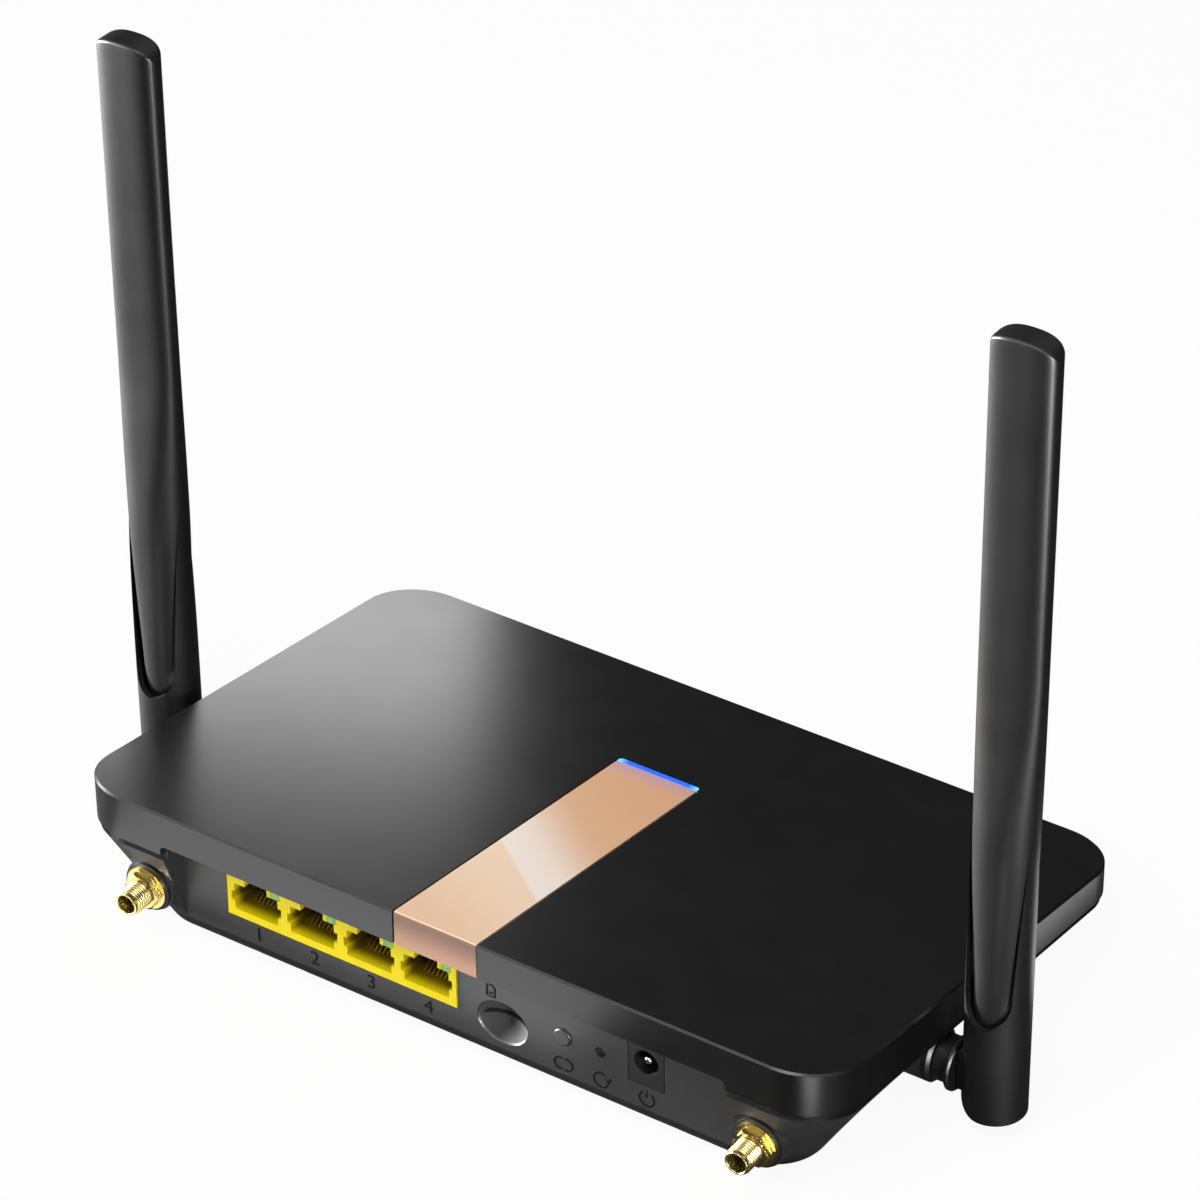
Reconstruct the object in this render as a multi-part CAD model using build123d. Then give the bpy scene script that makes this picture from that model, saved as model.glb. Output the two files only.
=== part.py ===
"""Desktop wireless router: a wedge that rises to the port panel at its back, with two folding side antennas and two
SMA aerial sockets.

Millimetres, +Z up. The ports face +Y, so +X is on the left of someone who looks at the ports. Every piece is drawn
about the middle of the case; ORIGIN_Y then puts the frame's origin under the middle of the whole object.
"""
from build123d import *
import math
import os

# ---- case ----------------------------------------------------------------------------------------------------
CASE_W = 200.0  # across the cover, X
CASE_D = 127.9  # front to back of the cover, Y
TOP_Z = 30.0  # cover's top face above the table, at the middle of the case
CORNER_R = 14.3  # cover's corner radius in plan
TOP_SLOPE = 8.24  # rise of the cover's top face towards the back, degrees
WALL = 2.0  # moulded wall of cover and shell
TOP_CHAMFER = 0.5  # bright edge around the cover's top face
SKIRT = 10.0  # height of the cover's skirt at the middle of its sides
SKIRT_SLOPE = 6.65  # rise of the skirt's lower edge towards the back, degrees
PORT_SKIRT = 8.9  # height of the skirt above the ports
NOTCH_R = 1.3  # rounding of the two ends of the skirt's cut-out
SEAM = 1.4  # open shadow gap between the skirt and the shell's rim
RIM_INSET = 0.6  # shell's rim inside the cover's outline
SIDE_IN = 14.0  # how far each side of the underside lies inside the rim
REAR_IN = 8.7
FRONT_IN = 10.0
BASE_ROUND = 4.0  # rounding where the walls meet the underside
BASE_CORNER_R = 11.9  # corner radius of the underside before its rounding
LIP_T = 1.6  # locating lip that rises from the shell into the cover
LIP_H = 5.0  # how far the lip rises above the rim
LIP_FIT = 0.25  # gap between the lip and the cover's wall

# ---- feet and case screws --------------------------------------------------------------------------------------
FOOT_H = 1.5  # rubber foot below the underside
FOOT_R = 6.0
FOOT_SEAT = 0.8  # depth of the seat that each foot is stuck into
FOOT_FIT = 0.2  # gap round the foot in its seat
FOOT_INSET_X = 28.0  # foot's middle inside the cover's side
FOOT_INSET_REAR = 22.0
FOOT_INSET_FRONT = 30.0
POST_R = 4.2  # shell's screw post
POST_TOP_Z = 10.1
SCREW_R = 1.3
SCREW_HEAD_R = 2.5
SCREW_HEAD_H = 1.8
SCREW_FIT = 0.3  # gap round the screw in the shell
BOSS_R = 3.2  # cover's screw boss
BOSS_GAP = 0.3  # gap between the cover's boss and the shell's post
SCREW_BITE = 9.0  # length of screw in the cover's boss

# ---- underside: vents and wall keyholes --------------------------------------------------------------------------
VENT_L = 34.0
VENT_W = 2.0
VENT_PITCH = 5.0
VENT_COUNT = 9
KEY_SPACING = 110.0
KEY_HEAD_R = 4.0
KEY_NECK_R = 2.1
KEY_TRAVEL = 7.0  # from the head's hole to the end of the neck, towards the front
KEY_Y = 14.0

# ---- accent strip and light bar ----------------------------------------------------------------------------------
STRIP_X = -0.4  # middle of the strip
STRIP_W = 21.6
STRIP_T = 1.2
STRIP_GAP = 0.45  # dark line on each side of the strip
STRIP_L = 86.8  # strip's length on the top face, in plan
BAR_W = 1.5  # light bar, front to back
BAR_H = 3.4
BAR_ROUND = 0.9  # rounding of the bar's two front corners
GUIDE_W = 16.0  # light guide below the bar
GUIDE_T = 1.2
LED_SIZE = 1.6
LED_H = 0.8
LED_COUNT = 4
LED_PITCH = 5.0

# ---- main board --------------------------------------------------------------------------------------------------
BOARD_TOP_Z = 12.7
BOARD_T = 1.6
BOARD_POST_GAP = 2.8  # board's sides to the screw posts
BOARD_FRONT_INSET = 18.0  # board's front edge behind the front of the cover
BOARD_REAR_GAP = 0.6  # board's edge to the inside of the port panel
STANDOFF_R = 2.6
STANDOFF_INSET_X = 7.0  # standoff's middle inside the board's edges
STANDOFF_INSET_REAR = 20.2
STANDOFF_INSET_FRONT = 6.0
PEG_R = 1.2
PEG_H = 1.3
PEG_FIT = 0.1

# ---- port panel --------------------------------------------------------------------------------------------------
PANEL_RECESS = 7.6  # panel face behind the back of the cover
PANEL_INSET = 25.5  # panel's end inside the cover's side
NOTCH_WIDER = 0.2  # skirt's cut-out beyond each end of the panel
WINDOW_GAP = 0.2  # gap round a socket in its window

# ---- Ethernet sockets --------------------------------------------------------------------------------------------
PORT_COUNT = 4
PORT_PITCH = 15.5
PORT_X0 = 53.9  # middle of the first socket, on the +X side
PORT_W = 12.0  # mouth for an 11.7 mm plug
PORT_H = 7.0
PORT_FLOOR = 2.0  # block's floor under the mouth
PORT_EDGE = 1.95  # block's wall outside the outer sockets
BLOCK_H = 13.3
BLOCK_DEPTH = 17.0
BLOCK_BACK = 3.0  # solid back of the block
BLOCK_PROUD = 0.5  # block in front of the panel
LATCH_W = 6.2  # channel for the plug's latch
LATCH_H = 3.0
RIB_W = 0.9  # shallow side grooves of the mouth
RIB_H = 2.6
RIB_Z = 2.2  # groove above the mouth's floor
LAMP_W = 2.6
LAMP_H = 2.4
LAMP_DEPTH = 6.0
LAMP_OUT = 0.7  # lens beyond the side of the mouth
LAMP_FIT = 0.05
WIRE_COUNT = 8
WIRE_PITCH = 1.08
WIRE_T = 0.36
WIRE_RISE = 4.6
WIRE_FRONT = 4.4  # wires start this far behind the block's face
WIRE_RUN = 6.5

# ---- SIM socket --------------------------------------------------------------------------------------------------
SIM_X = -12.4
SIM_Z = 13.4
DISH_R = 6.7  # half the dish's width
DISH_SQUASH = 0.84  # dish's height as a share of its width
DISH_DEPTH = 3.4
DISH_WALL = 1.4
SIM_SLOT_W = 11.6
SIM_SLOT_H = 1.3
SIM_SLOT_Z = 13.75
SIM_BODY_W = 15.0
SIM_BODY_DEPTH = 15.0
SIM_ROOF = 0.9

# ---- buttons -----------------------------------------------------------------------------------------------------
WPS_X = -28.3
WPS_Z = 16.6
WPS_R = 2.2
WPS_PROUD = 0.5
WPS_CROWN = 0.4  # rounding of the button's face
BUTTON_FIT = 0.1
BUTTON_FLANGE = 0.8  # flange wider than the button, behind the panel
FLANGE_T = 0.8
PRESS = 0.6  # travel of both buttons
STEM_R = 0.9
SWITCH_W = 6.0
SWITCH_D = 4.0
SWITCH_TOP = 2.6  # switch above the middle of its stem
RESET_X = -38.1
RESET_Z = 16.6
RESET_R = 1.25
RESET_SUNK = 1.1  # plunger's face behind the panel

# ---- power inlet -------------------------------------------------------------------------------------------------
INLET_X = -49.9
INLET_Z = 19.1
INLET_W = 9.0
INLET_ABOVE = 4.8  # housing above the middle of the hole
INLET_BELOW = 6.4
INLET_DEPTH = 14.0
INLET_R = 3.1
INLET_HOLE = 9.5
INLET_PIN_R = 0.85
INLET_PIN_L = 9.0

# ---- SMA aerial sockets ------------------------------------------------------------------------------------------
SMA_INSET_X = 18.9  # axis inside the cover's side
SMA_Z = 14.7
SMA_BOSS_R = 6.4
SMA_INSET_Y = 3.3  # boss's face in front of the back of the cover
SMA_R = 3.175  # over the crests of the 1/4 inch thread
SMA_ROOT_R = 3.0  # at its roots, where the nut and rings sit
SMA_BORE_R = 2.35
SMA_BORE = 6.0
SMA_REACH = 8.8  # barrel beyond the boss's face
SMA_LIP_R = 2.9  # plain lip in front of the thread
SMA_LIP = 1.0
SMA_FIT = 0.15
SMA_SPOT_R = 7.4  # flat cut in the tapered wall around the boss
SMA_FLANGE_R = 4.8
SMA_FLANGE_T = 2.0
SMA_TAIL_R = 2.0
SMA_TAIL = 5.0
GASKET_R = 6.0
GASKET_T = 0.9
WASHER_R = 5.3
WASHER_T = 0.6
NUT_AF = 8.0  # across flats
NUT_T = 2.0
NUT_SHOW = 0.2  # bare root in front of the nut
NUT_CHAMFER = 0.5
MOUTH_CHAMFER = 0.3
PTFE_BACK = 4.0  # insulator's face behind the mouth
CONTACT_R = 0.6
CONTACT_TIP = 1.2

# ---- antenna hinge -----------------------------------------------------------------------------------------------
HINGE_INSET_Y = 50.75  # axis in front of the back of the cover
HINGE_Z = 13.3
HINGE_BOSS_R = 6.5
HINGE_BOSS_INSET = 4.0  # end of the shell's boss inside the cover's side
HINGE_BOSS_L = 9.6
BUSH_R = 5.0
BUSH_FLANGE_R = 6.5
BUSH_FLANGE_T = 2.0
BUSH_CHAMFER = 0.7
SHAFT_R = 3.5
RUN_FIT = 0.06  # radial running clearance of shafts and pins
FACE_GAP = 0.3  # gap between faces that turn past each other
NECK_R = 5.4
NECK_L = 3.3
COLLAR_R = 6.6
COLLAR_CHAMFER = 0.4
LEAD_BORE_R = 1.3
CLIP_R = 5.4
CLIP_T = 1.2
CLIP_GROOVE = 0.5
PIN_OUT = 11.2  # tilt pin beyond the cover's side
PIN_R = 1.5
PIN_CAP = 1.3  # sleeve wall left outside each end of the pin
TONGUE_T = 5.4
TONGUE_R = 5.0
SLOT_FIT = 0.3

# ---- antennas ----------------------------------------------------------------------------------------------------
SLEEVE_R = 7.3
SLEEVE_DROP = 7.9  # sleeve's lower end below the pin
SLEEVE_TOP_Z = 84.0
SCOOP_Z = 30.7  # bottom of the U-shaped lip
SCOOP_W = 11.4  # width of the lip above its rounded lower end
SCOOP_ROUND = 8.0  # height of that rounded end
BLADE_Z = 28.0  # lower end of the blade in its socket
BLADE_SET = 0.4  # blade's middle in front of the hinge
BLADE_FOOT_R = 5.6
BLADE_WAIST_Z = 84.0
BLADE_WAIST_W = 14.2
BLADE_WAIST_T = 10.5
BLADE_WAIST_R = 5.2
BLADE_FULL_Z = 106.0
BLADE_W = 15.6
BLADE_T = 6.8
BLADE_R = 3.2
BLADE_TOP_Z = 199.6
BLADE_DOME_R = 20.0  # ball that rounds the blade's top
BLADE_EDGE = 1.0  # rounding round the top
BLADE_TOP_WALL = 8.0  # solid end above the hollow
BLADE_WALL = 1.1
BLADE_SEAM = 0.3
ELEMENT_W = 8.0
ELEMENT_T = 0.8
ELEMENT_TOP_GAP = 6.0

# ---- worked out from the above -----------------------------------------------------------------------------------
FOOT_X = CASE_W / 2 - FOOT_INSET_X
FOOT_Y_REAR = CASE_D / 2 - FOOT_INSET_REAR
FOOT_Y_FRONT = FOOT_INSET_FRONT - CASE_D / 2
STRIP_FRONT_Y = CASE_D / 2 - STRIP_L
BASE_Z = FOOT_H
FLOOR_Z = BASE_Z + WALL
RISE = math.tan(math.radians(TOP_SLOPE))
RIM_Z = TOP_Z - SKIRT - SEAM
CEILING_Z = TOP_Z - WALL / math.cos(math.radians(TOP_SLOPE))
HEADROOM = TOP_Z + CASE_D / 2  # above everything in the case
NOTCH_TOP_Z = TOP_Z + CASE_D / 2 * RISE - PORT_SKIRT
LIP_TOP_Z = RIM_Z + LIP_H
PANEL_Y = CASE_D / 2 - PANEL_RECESS
PANEL_BACK_Y = PANEL_Y - WALL
BOARD_BOTTOM_Z = BOARD_TOP_Z - BOARD_T
BOARD_REAR_Y = PANEL_BACK_Y - BOARD_REAR_GAP
BOARD_FRONT_Y = BOARD_FRONT_INSET - CASE_D / 2
BOARD_HALF_W = FOOT_X - POST_R - BOARD_POST_GAP
PANEL_HALF_W = CASE_W / 2 - PANEL_INSET
NOTCH_HALF_W = PANEL_HALF_W + NOTCH_WIDER
BLOCK_FACE_Y = PANEL_Y + BLOCK_PROUD
BLOCK_X_HI = PORT_X0 + PORT_W / 2 + PORT_EDGE
BLOCK_X_LO = PORT_X0 - (PORT_COUNT - 1) * PORT_PITCH - PORT_W / 2 - PORT_EDGE
PORT_Z0 = BOARD_TOP_Z + PORT_FLOOR
SMA_X = CASE_W / 2 - SMA_INSET_X
SMA_FACE_Y = CASE_D / 2 - SMA_INSET_Y
MOUTH_Y = SMA_FACE_Y + SMA_REACH
HINGE_Y = CASE_D / 2 - HINGE_INSET_Y
HINGE_BOSS_X = CASE_W / 2 - HINGE_BOSS_INSET
HINGE_BOSS_IN = HINGE_BOSS_X - HINGE_BOSS_L
PIN_X = CASE_W / 2 + PIN_OUT
BLADE_Y = HINGE_Y - BLADE_SET
ORIGIN_Y = (MOUTH_Y - CASE_D / 2) / 2
SIDES = {"left": 1, "right": -1}
PRESS_FIT = 0.01  # gap of a pressed or screwed joint
OVERLAP = 0.01  # bite between two forms that are joined into one


def block(x0, x1, y0, y1, z0, z1):
    """Box between two corners."""
    return Pos((x0 + x1) / 2, (y0 + y1) / 2, (z0 + z1) / 2) * Box(abs(x1 - x0), abs(y1 - y0), abs(z1 - z0))


def rod_x(x0, x1, y, z, r):
    """Cylinder along X."""
    return Pos((x0 + x1) / 2, y, z) * Rot(0, 90, 0) * Cylinder(r, abs(x1 - x0))


def rod_y(y0, y1, x, z, r):
    """Cylinder along Y."""
    return Pos(x, (y0 + y1) / 2, z) * Rot(90, 0, 0) * Cylinder(r, abs(y1 - y0))


def rod_z(z0, z1, x, y, r):
    """Cylinder along Z."""
    return Pos(x, y, (z0 + z1) / 2) * Cylinder(r, abs(z1 - z0))


def slab(width, depth, radius, z0, z1, y=0.0):
    """Rounded rectangle in plan, from z0 up to z1."""
    return extrude(Pos(0, y, z0) * RectangleRounded(width, depth, radius), z1 - z0)


def over(z_mid, slope):
    """Everything above a plane that rises by slope degrees towards the back and is z_mid high at the middle."""
    reach = 2 * CASE_W
    return Pos(0, 0, z_mid) * Rot(slope, 0, 0) * Pos(0, 0, reach / 2) * Box(2 * reach, 2 * reach, reach)


def mirrored(piece, side):
    """The +X piece, or its mirror image for the other side."""
    return piece if side > 0 else mirror(piece, about=Plane.YZ)


# ---- case --------------------------------------------------------------------------------------------------------
def foot_places():
    return [(x, y) for x in (-FOOT_X, FOOT_X) for y in (FOOT_Y_FRONT, FOOT_Y_REAR)]


def standoff_places():
    reach = BOARD_HALF_W - STANDOFF_INSET_X
    rows = (BOARD_FRONT_Y + STANDOFF_INSET_FRONT, BOARD_REAR_Y - STANDOFF_INSET_REAR)
    return [(x, y) for x in (-reach, reach) for y in rows]


def strip_recess(grow, z_low, front_y):
    """Space of the accent strip, wrapped over the rear edge, wider by grow on each side."""
    x0 = STRIP_X - STRIP_W / 2 - grow
    x1 = STRIP_X + STRIP_W / 2 + grow
    top = block(x0, x1, front_y, CASE_D / 2 + 1, 0, HEADROOM) & over(TOP_Z - STRIP_T, TOP_SLOPE)
    return top + block(x0, x1, CASE_D / 2 - STRIP_T, CASE_D / 2 + 1, z_low, HEADROOM)


def cover_outline():
    """Outside of the cover, with its chamfered top edge."""
    body = slab(CASE_W, CASE_D, CORNER_R, 0, HEADROOM) - over(TOP_Z, TOP_SLOPE)
    body &= over(TOP_Z - SKIRT, SKIRT_SLOPE)
    return chamfer(body.faces().sort_by(Axis.Z)[-1].edges(), TOP_CHAMFER)


def top_cover():
    cover = cover_outline()
    inside = slab(CASE_W - 2 * WALL, CASE_D - 2 * WALL, CORNER_R - WALL, 0, HEADROOM)
    cover -= inside - over(CEILING_Z, TOP_SLOPE)
    notch = Pos(0, CASE_D / 2 + 1, 0) * Rot(90, 0, 0) * RectangleRounded(2 * NOTCH_HALF_W, 2 * NOTCH_TOP_Z, NOTCH_R)
    cover -= extrude(notch, WALL + 2)
    bar_front = STRIP_FRONT_Y - BAR_W - 2 * LAMP_FIT
    bar_half = STRIP_W / 2 + LAMP_FIT
    cover -= strip_recess(STRIP_GAP, 0, STRIP_FRONT_Y - LAMP_FIT)
    cover -= block(STRIP_X - bar_half, STRIP_X + bar_half, bar_front, STRIP_FRONT_Y, BOARD_TOP_Z, HEADROOM)
    for x, y in foot_places():
        boss = rod_z(POST_TOP_Z + BOSS_GAP, HEADROOM, x, y, BOSS_R)
        cover += boss - over(CEILING_Z + OVERLAP, TOP_SLOPE)
        cover -= rod_z(POST_TOP_Z + BOSS_GAP - 1, POST_TOP_Z + BOSS_GAP + SCREW_BITE + 1, x, y, SCREW_R + PRESS_FIT)
    return cover


def hull(inset, z_low, rounding):
    """Tub of the bottom shell, from the sloping rim in to the underside, each wall moved inward by inset."""
    out = RIM_INSET + inset
    tilt = math.cos(math.radians(SKIRT_SLOPE))
    rim_place = Pos(0, 0, RIM_Z) * Rot(SKIRT_SLOPE, 0, 0)
    rim = rim_place * RectangleRounded(CASE_W - 2 * out, (CASE_D - 2 * out) / tilt, CORNER_R - out)
    width = CASE_W - 2 * (out + SIDE_IN)
    depth = CASE_D - 2 * out - REAR_IN - FRONT_IN
    foot = Pos(0, (FRONT_IN - REAR_IN) / 2, z_low) * RectangleRounded(width, depth, BASE_CORNER_R - inset / 2)
    body = loft([foot, rim], ruled=True)
    return fillet(body.faces().sort_by(Axis.Z)[0].edges(), rounding)


def panel_space(grow):
    """Space behind the cover's back edge that the port panel leaves open, larger by grow."""
    half = PANEL_HALF_W + grow
    return block(-half, half, PANEL_Y - grow, CASE_D / 2, 0, HEADROOM)


def keyhole(x):
    end_y = KEY_Y - KEY_TRAVEL
    head = rod_z(BASE_Z - 1, FLOOR_Z + 1, x, KEY_Y, KEY_HEAD_R)
    neck = rod_z(BASE_Z - 1, FLOOR_Z + 1, x, end_y, KEY_NECK_R)
    slot = block(x - KEY_NECK_R, x + KEY_NECK_R, end_y, KEY_Y, BASE_Z - 1, FLOOR_Z + 1)
    return head + neck + slot


def sma_place(side):
    """Frame of an SMA socket: +Z along its axis, out of the boss's face."""
    return Pos(side * SMA_X, SMA_FACE_Y, SMA_Z) * Rot(-90, 0, 0)


def port_window():
    """Windows and holes of the port panel, for what stands behind it."""
    y0, y1 = PANEL_BACK_Y - 1, PANEL_Y + 1
    holes = block(BLOCK_X_LO - WINDOW_GAP, BLOCK_X_HI + WINDOW_GAP, y0, y1,
                  BOARD_TOP_Z - WINDOW_GAP, BOARD_TOP_Z + BLOCK_H + WINDOW_GAP)
    holes += block(INLET_X - INLET_W / 2 - WINDOW_GAP, INLET_X + INLET_W / 2 + WINDOW_GAP, y0, y1,
                   INLET_Z - INLET_BELOW - WINDOW_GAP, INLET_Z + INLET_ABOVE + WINDOW_GAP)
    holes += rod_y(y0, y1, WPS_X, WPS_Z, WPS_R + BUTTON_FIT)
    holes += rod_y(y0, y1, RESET_X, RESET_Z, RESET_R + BUTTON_FIT)
    return holes


def dish_radius(depth):
    """Radius of the ball whose cap is the SIM dish."""
    return (DISH_R ** 2 + depth ** 2) / (2 * depth)


def sim_dish_body():
    """Moulded pocket behind the panel that carries the dish."""
    back = PANEL_Y - DISH_DEPTH - DISH_WALL
    return rod_y(back, PANEL_BACK_Y + OVERLAP, SIM_X, SIM_Z, DISH_R + DISH_WALL)


def sim_dish_space():
    """Bowl-shaped finger recess, wider than it is high, and the card slot through its back."""
    ball = dish_radius(DISH_DEPTH)
    bowl = Pos(0, ball - DISH_DEPTH, 0) * Sphere(ball)
    bowl &= rod_y(-DISH_DEPTH - 1, 1, 0, 0, DISH_R + 1)
    bowl = Pos(SIM_X, PANEL_Y, SIM_Z) * scale(bowl, by=(1, 1, DISH_SQUASH))
    slot = block(SIM_X - SIM_SLOT_W / 2, SIM_X + SIM_SLOT_W / 2, PANEL_Y - DISH_DEPTH - DISH_WALL - 1, PANEL_Y - 0.6,
                 SIM_SLOT_Z - SIM_SLOT_H / 2, SIM_SLOT_Z + SIM_SLOT_H / 2)
    return bowl + slot


def bottom_shell():
    lip_out = WALL + LIP_FIT
    lip_in = lip_out + LIP_T
    shell = hull(0, BASE_Z, BASE_ROUND)
    lip = slab(CASE_W - 2 * lip_out, CASE_D - 2 * lip_out, CORNER_R - lip_out, 0, HEADROOM)
    lip &= over(RIM_Z - OVERLAP, SKIRT_SLOPE)
    shell += lip - over(LIP_TOP_Z, SKIRT_SLOPE)
    for side in SIDES.values():
        shell -= sma_place(side) * rod_z(0, SMA_BOSS_R, 0, 0, SMA_SPOT_R)
        shell -= rod_x(side * HINGE_BOSS_X, side * CASE_W / 2, HINGE_Y, HINGE_Z, BUSH_FLANGE_R + FACE_GAP)
        shell += rod_x(side * HINGE_BOSS_IN, side * HINGE_BOSS_X, HINGE_Y, HINGE_Z, HINGE_BOSS_R)
        shell += sma_place(side) * rod_z(-2 * SMA_BOSS_R, 0, 0, 0, SMA_BOSS_R)
    shell -= panel_space(0)
    cavity = hull(WALL, FLOOR_Z, BASE_ROUND - WALL)
    mouth = slab(CASE_W - 2 * lip_in, CASE_D - 2 * lip_in, CORNER_R - lip_in, 0, HEADROOM)
    cavity += mouth & over(RIM_Z - WALL, SKIRT_SLOPE)
    cavity -= panel_space(WALL)
    for side in SIDES.values():
        cavity -= rod_x(side * HINGE_BOSS_IN, side * HINGE_BOSS_X, HINGE_Y, HINGE_Z, HINGE_BOSS_R)
        cavity -= sma_place(side) * rod_z(-2 * WALL, 0, 0, 0, SMA_BOSS_R)
    shell -= cavity
    shell += sim_dish_body()
    for x, y in foot_places():
        shell += rod_z(FLOOR_Z - OVERLAP, POST_TOP_Z, x, y, POST_R)
    for x, y in standoff_places():
        shell += rod_z(FLOOR_Z - OVERLAP, BOARD_BOTTOM_Z, x, y, STANDOFF_R)
        shell += rod_z(BOARD_BOTTOM_Z - OVERLAP, BOARD_BOTTOM_Z + PEG_H, x, y, PEG_R)
    shell -= port_window()
    shell -= sim_dish_space()
    for x, y in foot_places():
        shell -= rod_z(BASE_Z - 1, BASE_Z + FOOT_SEAT, x, y, FOOT_R + FOOT_FIT)
        shell -= rod_z(BASE_Z, BASE_Z + FOOT_SEAT + SCREW_HEAD_H + SCREW_FIT, x, y, SCREW_HEAD_R + SCREW_FIT)
        shell -= rod_z(BASE_Z, POST_TOP_Z + 1, x, y, SCREW_R + SCREW_FIT)
    for side in SIDES.values():
        shell -= rod_x(side * (HINGE_BOSS_IN - 4), side * (HINGE_BOSS_X + 1), HINGE_Y, HINGE_Z, BUSH_R + PRESS_FIT)
        shell -= sma_place(side) * rod_z(-3 * WALL, WALL, 0, 0, SMA_R + SMA_FIT)
        shell -= sma_place(side) * rod_z(-3 * SMA_BOSS_R, -2 * WALL, 0, 0, SMA_FLANGE_R + SMA_FIT)
        shell -= keyhole(side * KEY_SPACING / 2)
    for i in range(VENT_COUNT):
        y = (i - (VENT_COUNT - 1) / 2) * VENT_PITCH
        vent = Pos(0, y, BASE_Z - 1) * SlotOverall(VENT_L, VENT_W)
        shell -= extrude(vent, WALL + 2)
    return shell


def accent_strip():
    """Wrapped over the rear edge of the cover, and level with its faces."""
    return cover_outline() & strip_recess(0, NOTCH_TOP_Z, STRIP_FRONT_Y)


def light_bar():
    """Diffuser across the strip's front end, level with the cover's top face."""
    half = STRIP_W / 2
    y1 = STRIP_FRONT_Y - LAMP_FIT
    bar = block(STRIP_X - half, STRIP_X + half, y1 - BAR_W, y1, 0, HEADROOM)
    bar = fillet(bar.edges().filter_by(Axis.Z).group_by(Axis.Y)[0], BAR_ROUND)
    return (bar & over(TOP_Z - BAR_H, TOP_SLOPE)) - over(TOP_Z, TOP_SLOPE)


def light_guide():
    """Clear blade that carries the lamps' light up to the bar."""
    y = STRIP_FRONT_Y - LAMP_FIT - BAR_W / 2
    low = BOARD_TOP_Z + LED_H + FACE_GAP
    guide = block(STRIP_X - GUIDE_W / 2, STRIP_X + GUIDE_W / 2, y - GUIDE_T / 2, y + GUIDE_T / 2, low, HEADROOM)
    return guide - over(TOP_Z - BAR_H, TOP_SLOPE)


def status_leds():
    y = STRIP_FRONT_Y - LAMP_FIT - BAR_W / 2
    leds = []
    for i in range(LED_COUNT):
        x = STRIP_X + (i - (LED_COUNT - 1) / 2) * LED_PITCH
        leds.append(block(x - LED_SIZE / 2, x + LED_SIZE / 2, y - LED_SIZE / 2, y + LED_SIZE / 2,
                          BOARD_TOP_Z, BOARD_TOP_Z + LED_H))
    return Compound(leds)


def rubber_feet():
    feet = []
    for x, y in foot_places():
        foot = rod_z(0, BASE_Z + FOOT_SEAT, x, y, FOOT_R)
        feet.append(chamfer(foot.edges().group_by(Axis.Z)[0], FOOT_H / 3))
    return Compound(feet)


def case_screws():
    head_z = BASE_Z + FOOT_SEAT + SCREW_FIT
    screws = []
    for x, y in foot_places():
        head = rod_z(head_z, head_z + SCREW_HEAD_H, x, y, SCREW_HEAD_R)
        screws.append(head + rod_z(head_z, POST_TOP_Z + BOSS_GAP + SCREW_BITE, x, y, SCREW_R))
    return Compound(screws)


# ---- electronics -------------------------------------------------------------------------------------------------
def main_board():
    board = block(-BOARD_HALF_W, BOARD_HALF_W, BOARD_FRONT_Y, BOARD_REAR_Y, BOARD_BOTTOM_Z, BOARD_TOP_Z)
    board -= block(SIM_X - DISH_R - DISH_WALL - FACE_GAP, SIM_X + DISH_R + DISH_WALL + FACE_GAP,
                   PANEL_Y - DISH_DEPTH - DISH_WALL - FACE_GAP, BOARD_REAR_Y + 1, 0, HEADROOM)
    for x, y in standoff_places():
        board -= rod_z(BOARD_BOTTOM_Z - 1, BOARD_TOP_Z + 1, x, y, PEG_R + PEG_FIT)
    return board


CAN_PLACES = [(26.0, -4.0, 30.0, 24.0, 2.6), (-30.0, 10.0, 22.0, 20.0, 2.2)]  # x, y, width, depth, height
SINK_FINS = 7
SINK_BASE = 1.4
SINK_H = 6.0
SINK_MARGIN = 3.0
FIN_T = 1.0
MODULE_PLACE = (-32.0, -20.0, 42.0, 30.0, 3.2)


def seated_box(place, z0):
    x, y, width, depth, height = place
    return block(x - width / 2, x + width / 2, y - depth / 2, y + depth / 2, z0, z0 + height)


def shield_cans():
    return Compound([seated_box(place, BOARD_TOP_Z) for place in CAN_PLACES])


def heat_sink():
    """Finned sink on the processor's shield can."""
    x, y, width, depth, height = CAN_PLACES[0]
    z0 = BOARD_TOP_Z + height
    w = width - 2 * SINK_MARGIN
    d = depth - 2 * SINK_MARGIN
    sink = block(x - w / 2, x + w / 2, y - d / 2, y + d / 2, z0, z0 + SINK_BASE)
    pitch = (w - FIN_T) / (SINK_FINS - 1)
    for i in range(SINK_FINS):
        fin_x = x - w / 2 + i * pitch
        sink += block(fin_x, fin_x + FIN_T, y - d / 2, y + d / 2, z0 + SINK_BASE - OVERLAP, z0 + SINK_H)
    return sink


def lte_module():
    return seated_box(MODULE_PLACE, BOARD_TOP_Z)


def port_places():
    return [PORT_X0 - i * PORT_PITCH for i in range(PORT_COUNT)]


def port_space(x):
    """Mouth of one Ethernet socket: plug space, side grooves and the latch's channel above."""
    y0 = BLOCK_FACE_Y - BLOCK_DEPTH + BLOCK_BACK
    y1 = BLOCK_FACE_Y + 1
    space = block(x - PORT_W / 2, x + PORT_W / 2, y0, y1, PORT_Z0, PORT_Z0 + PORT_H)
    space += block(x - PORT_W / 2 - RIB_W, x + PORT_W / 2 + RIB_W, y0, y1, PORT_Z0 + RIB_Z, PORT_Z0 + RIB_Z + RIB_H)
    space += block(x - LATCH_W / 2, x + LATCH_W / 2, y0, y1, PORT_Z0 + PORT_H - OVERLAP, PORT_Z0 + PORT_H + LATCH_H)
    return space


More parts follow.
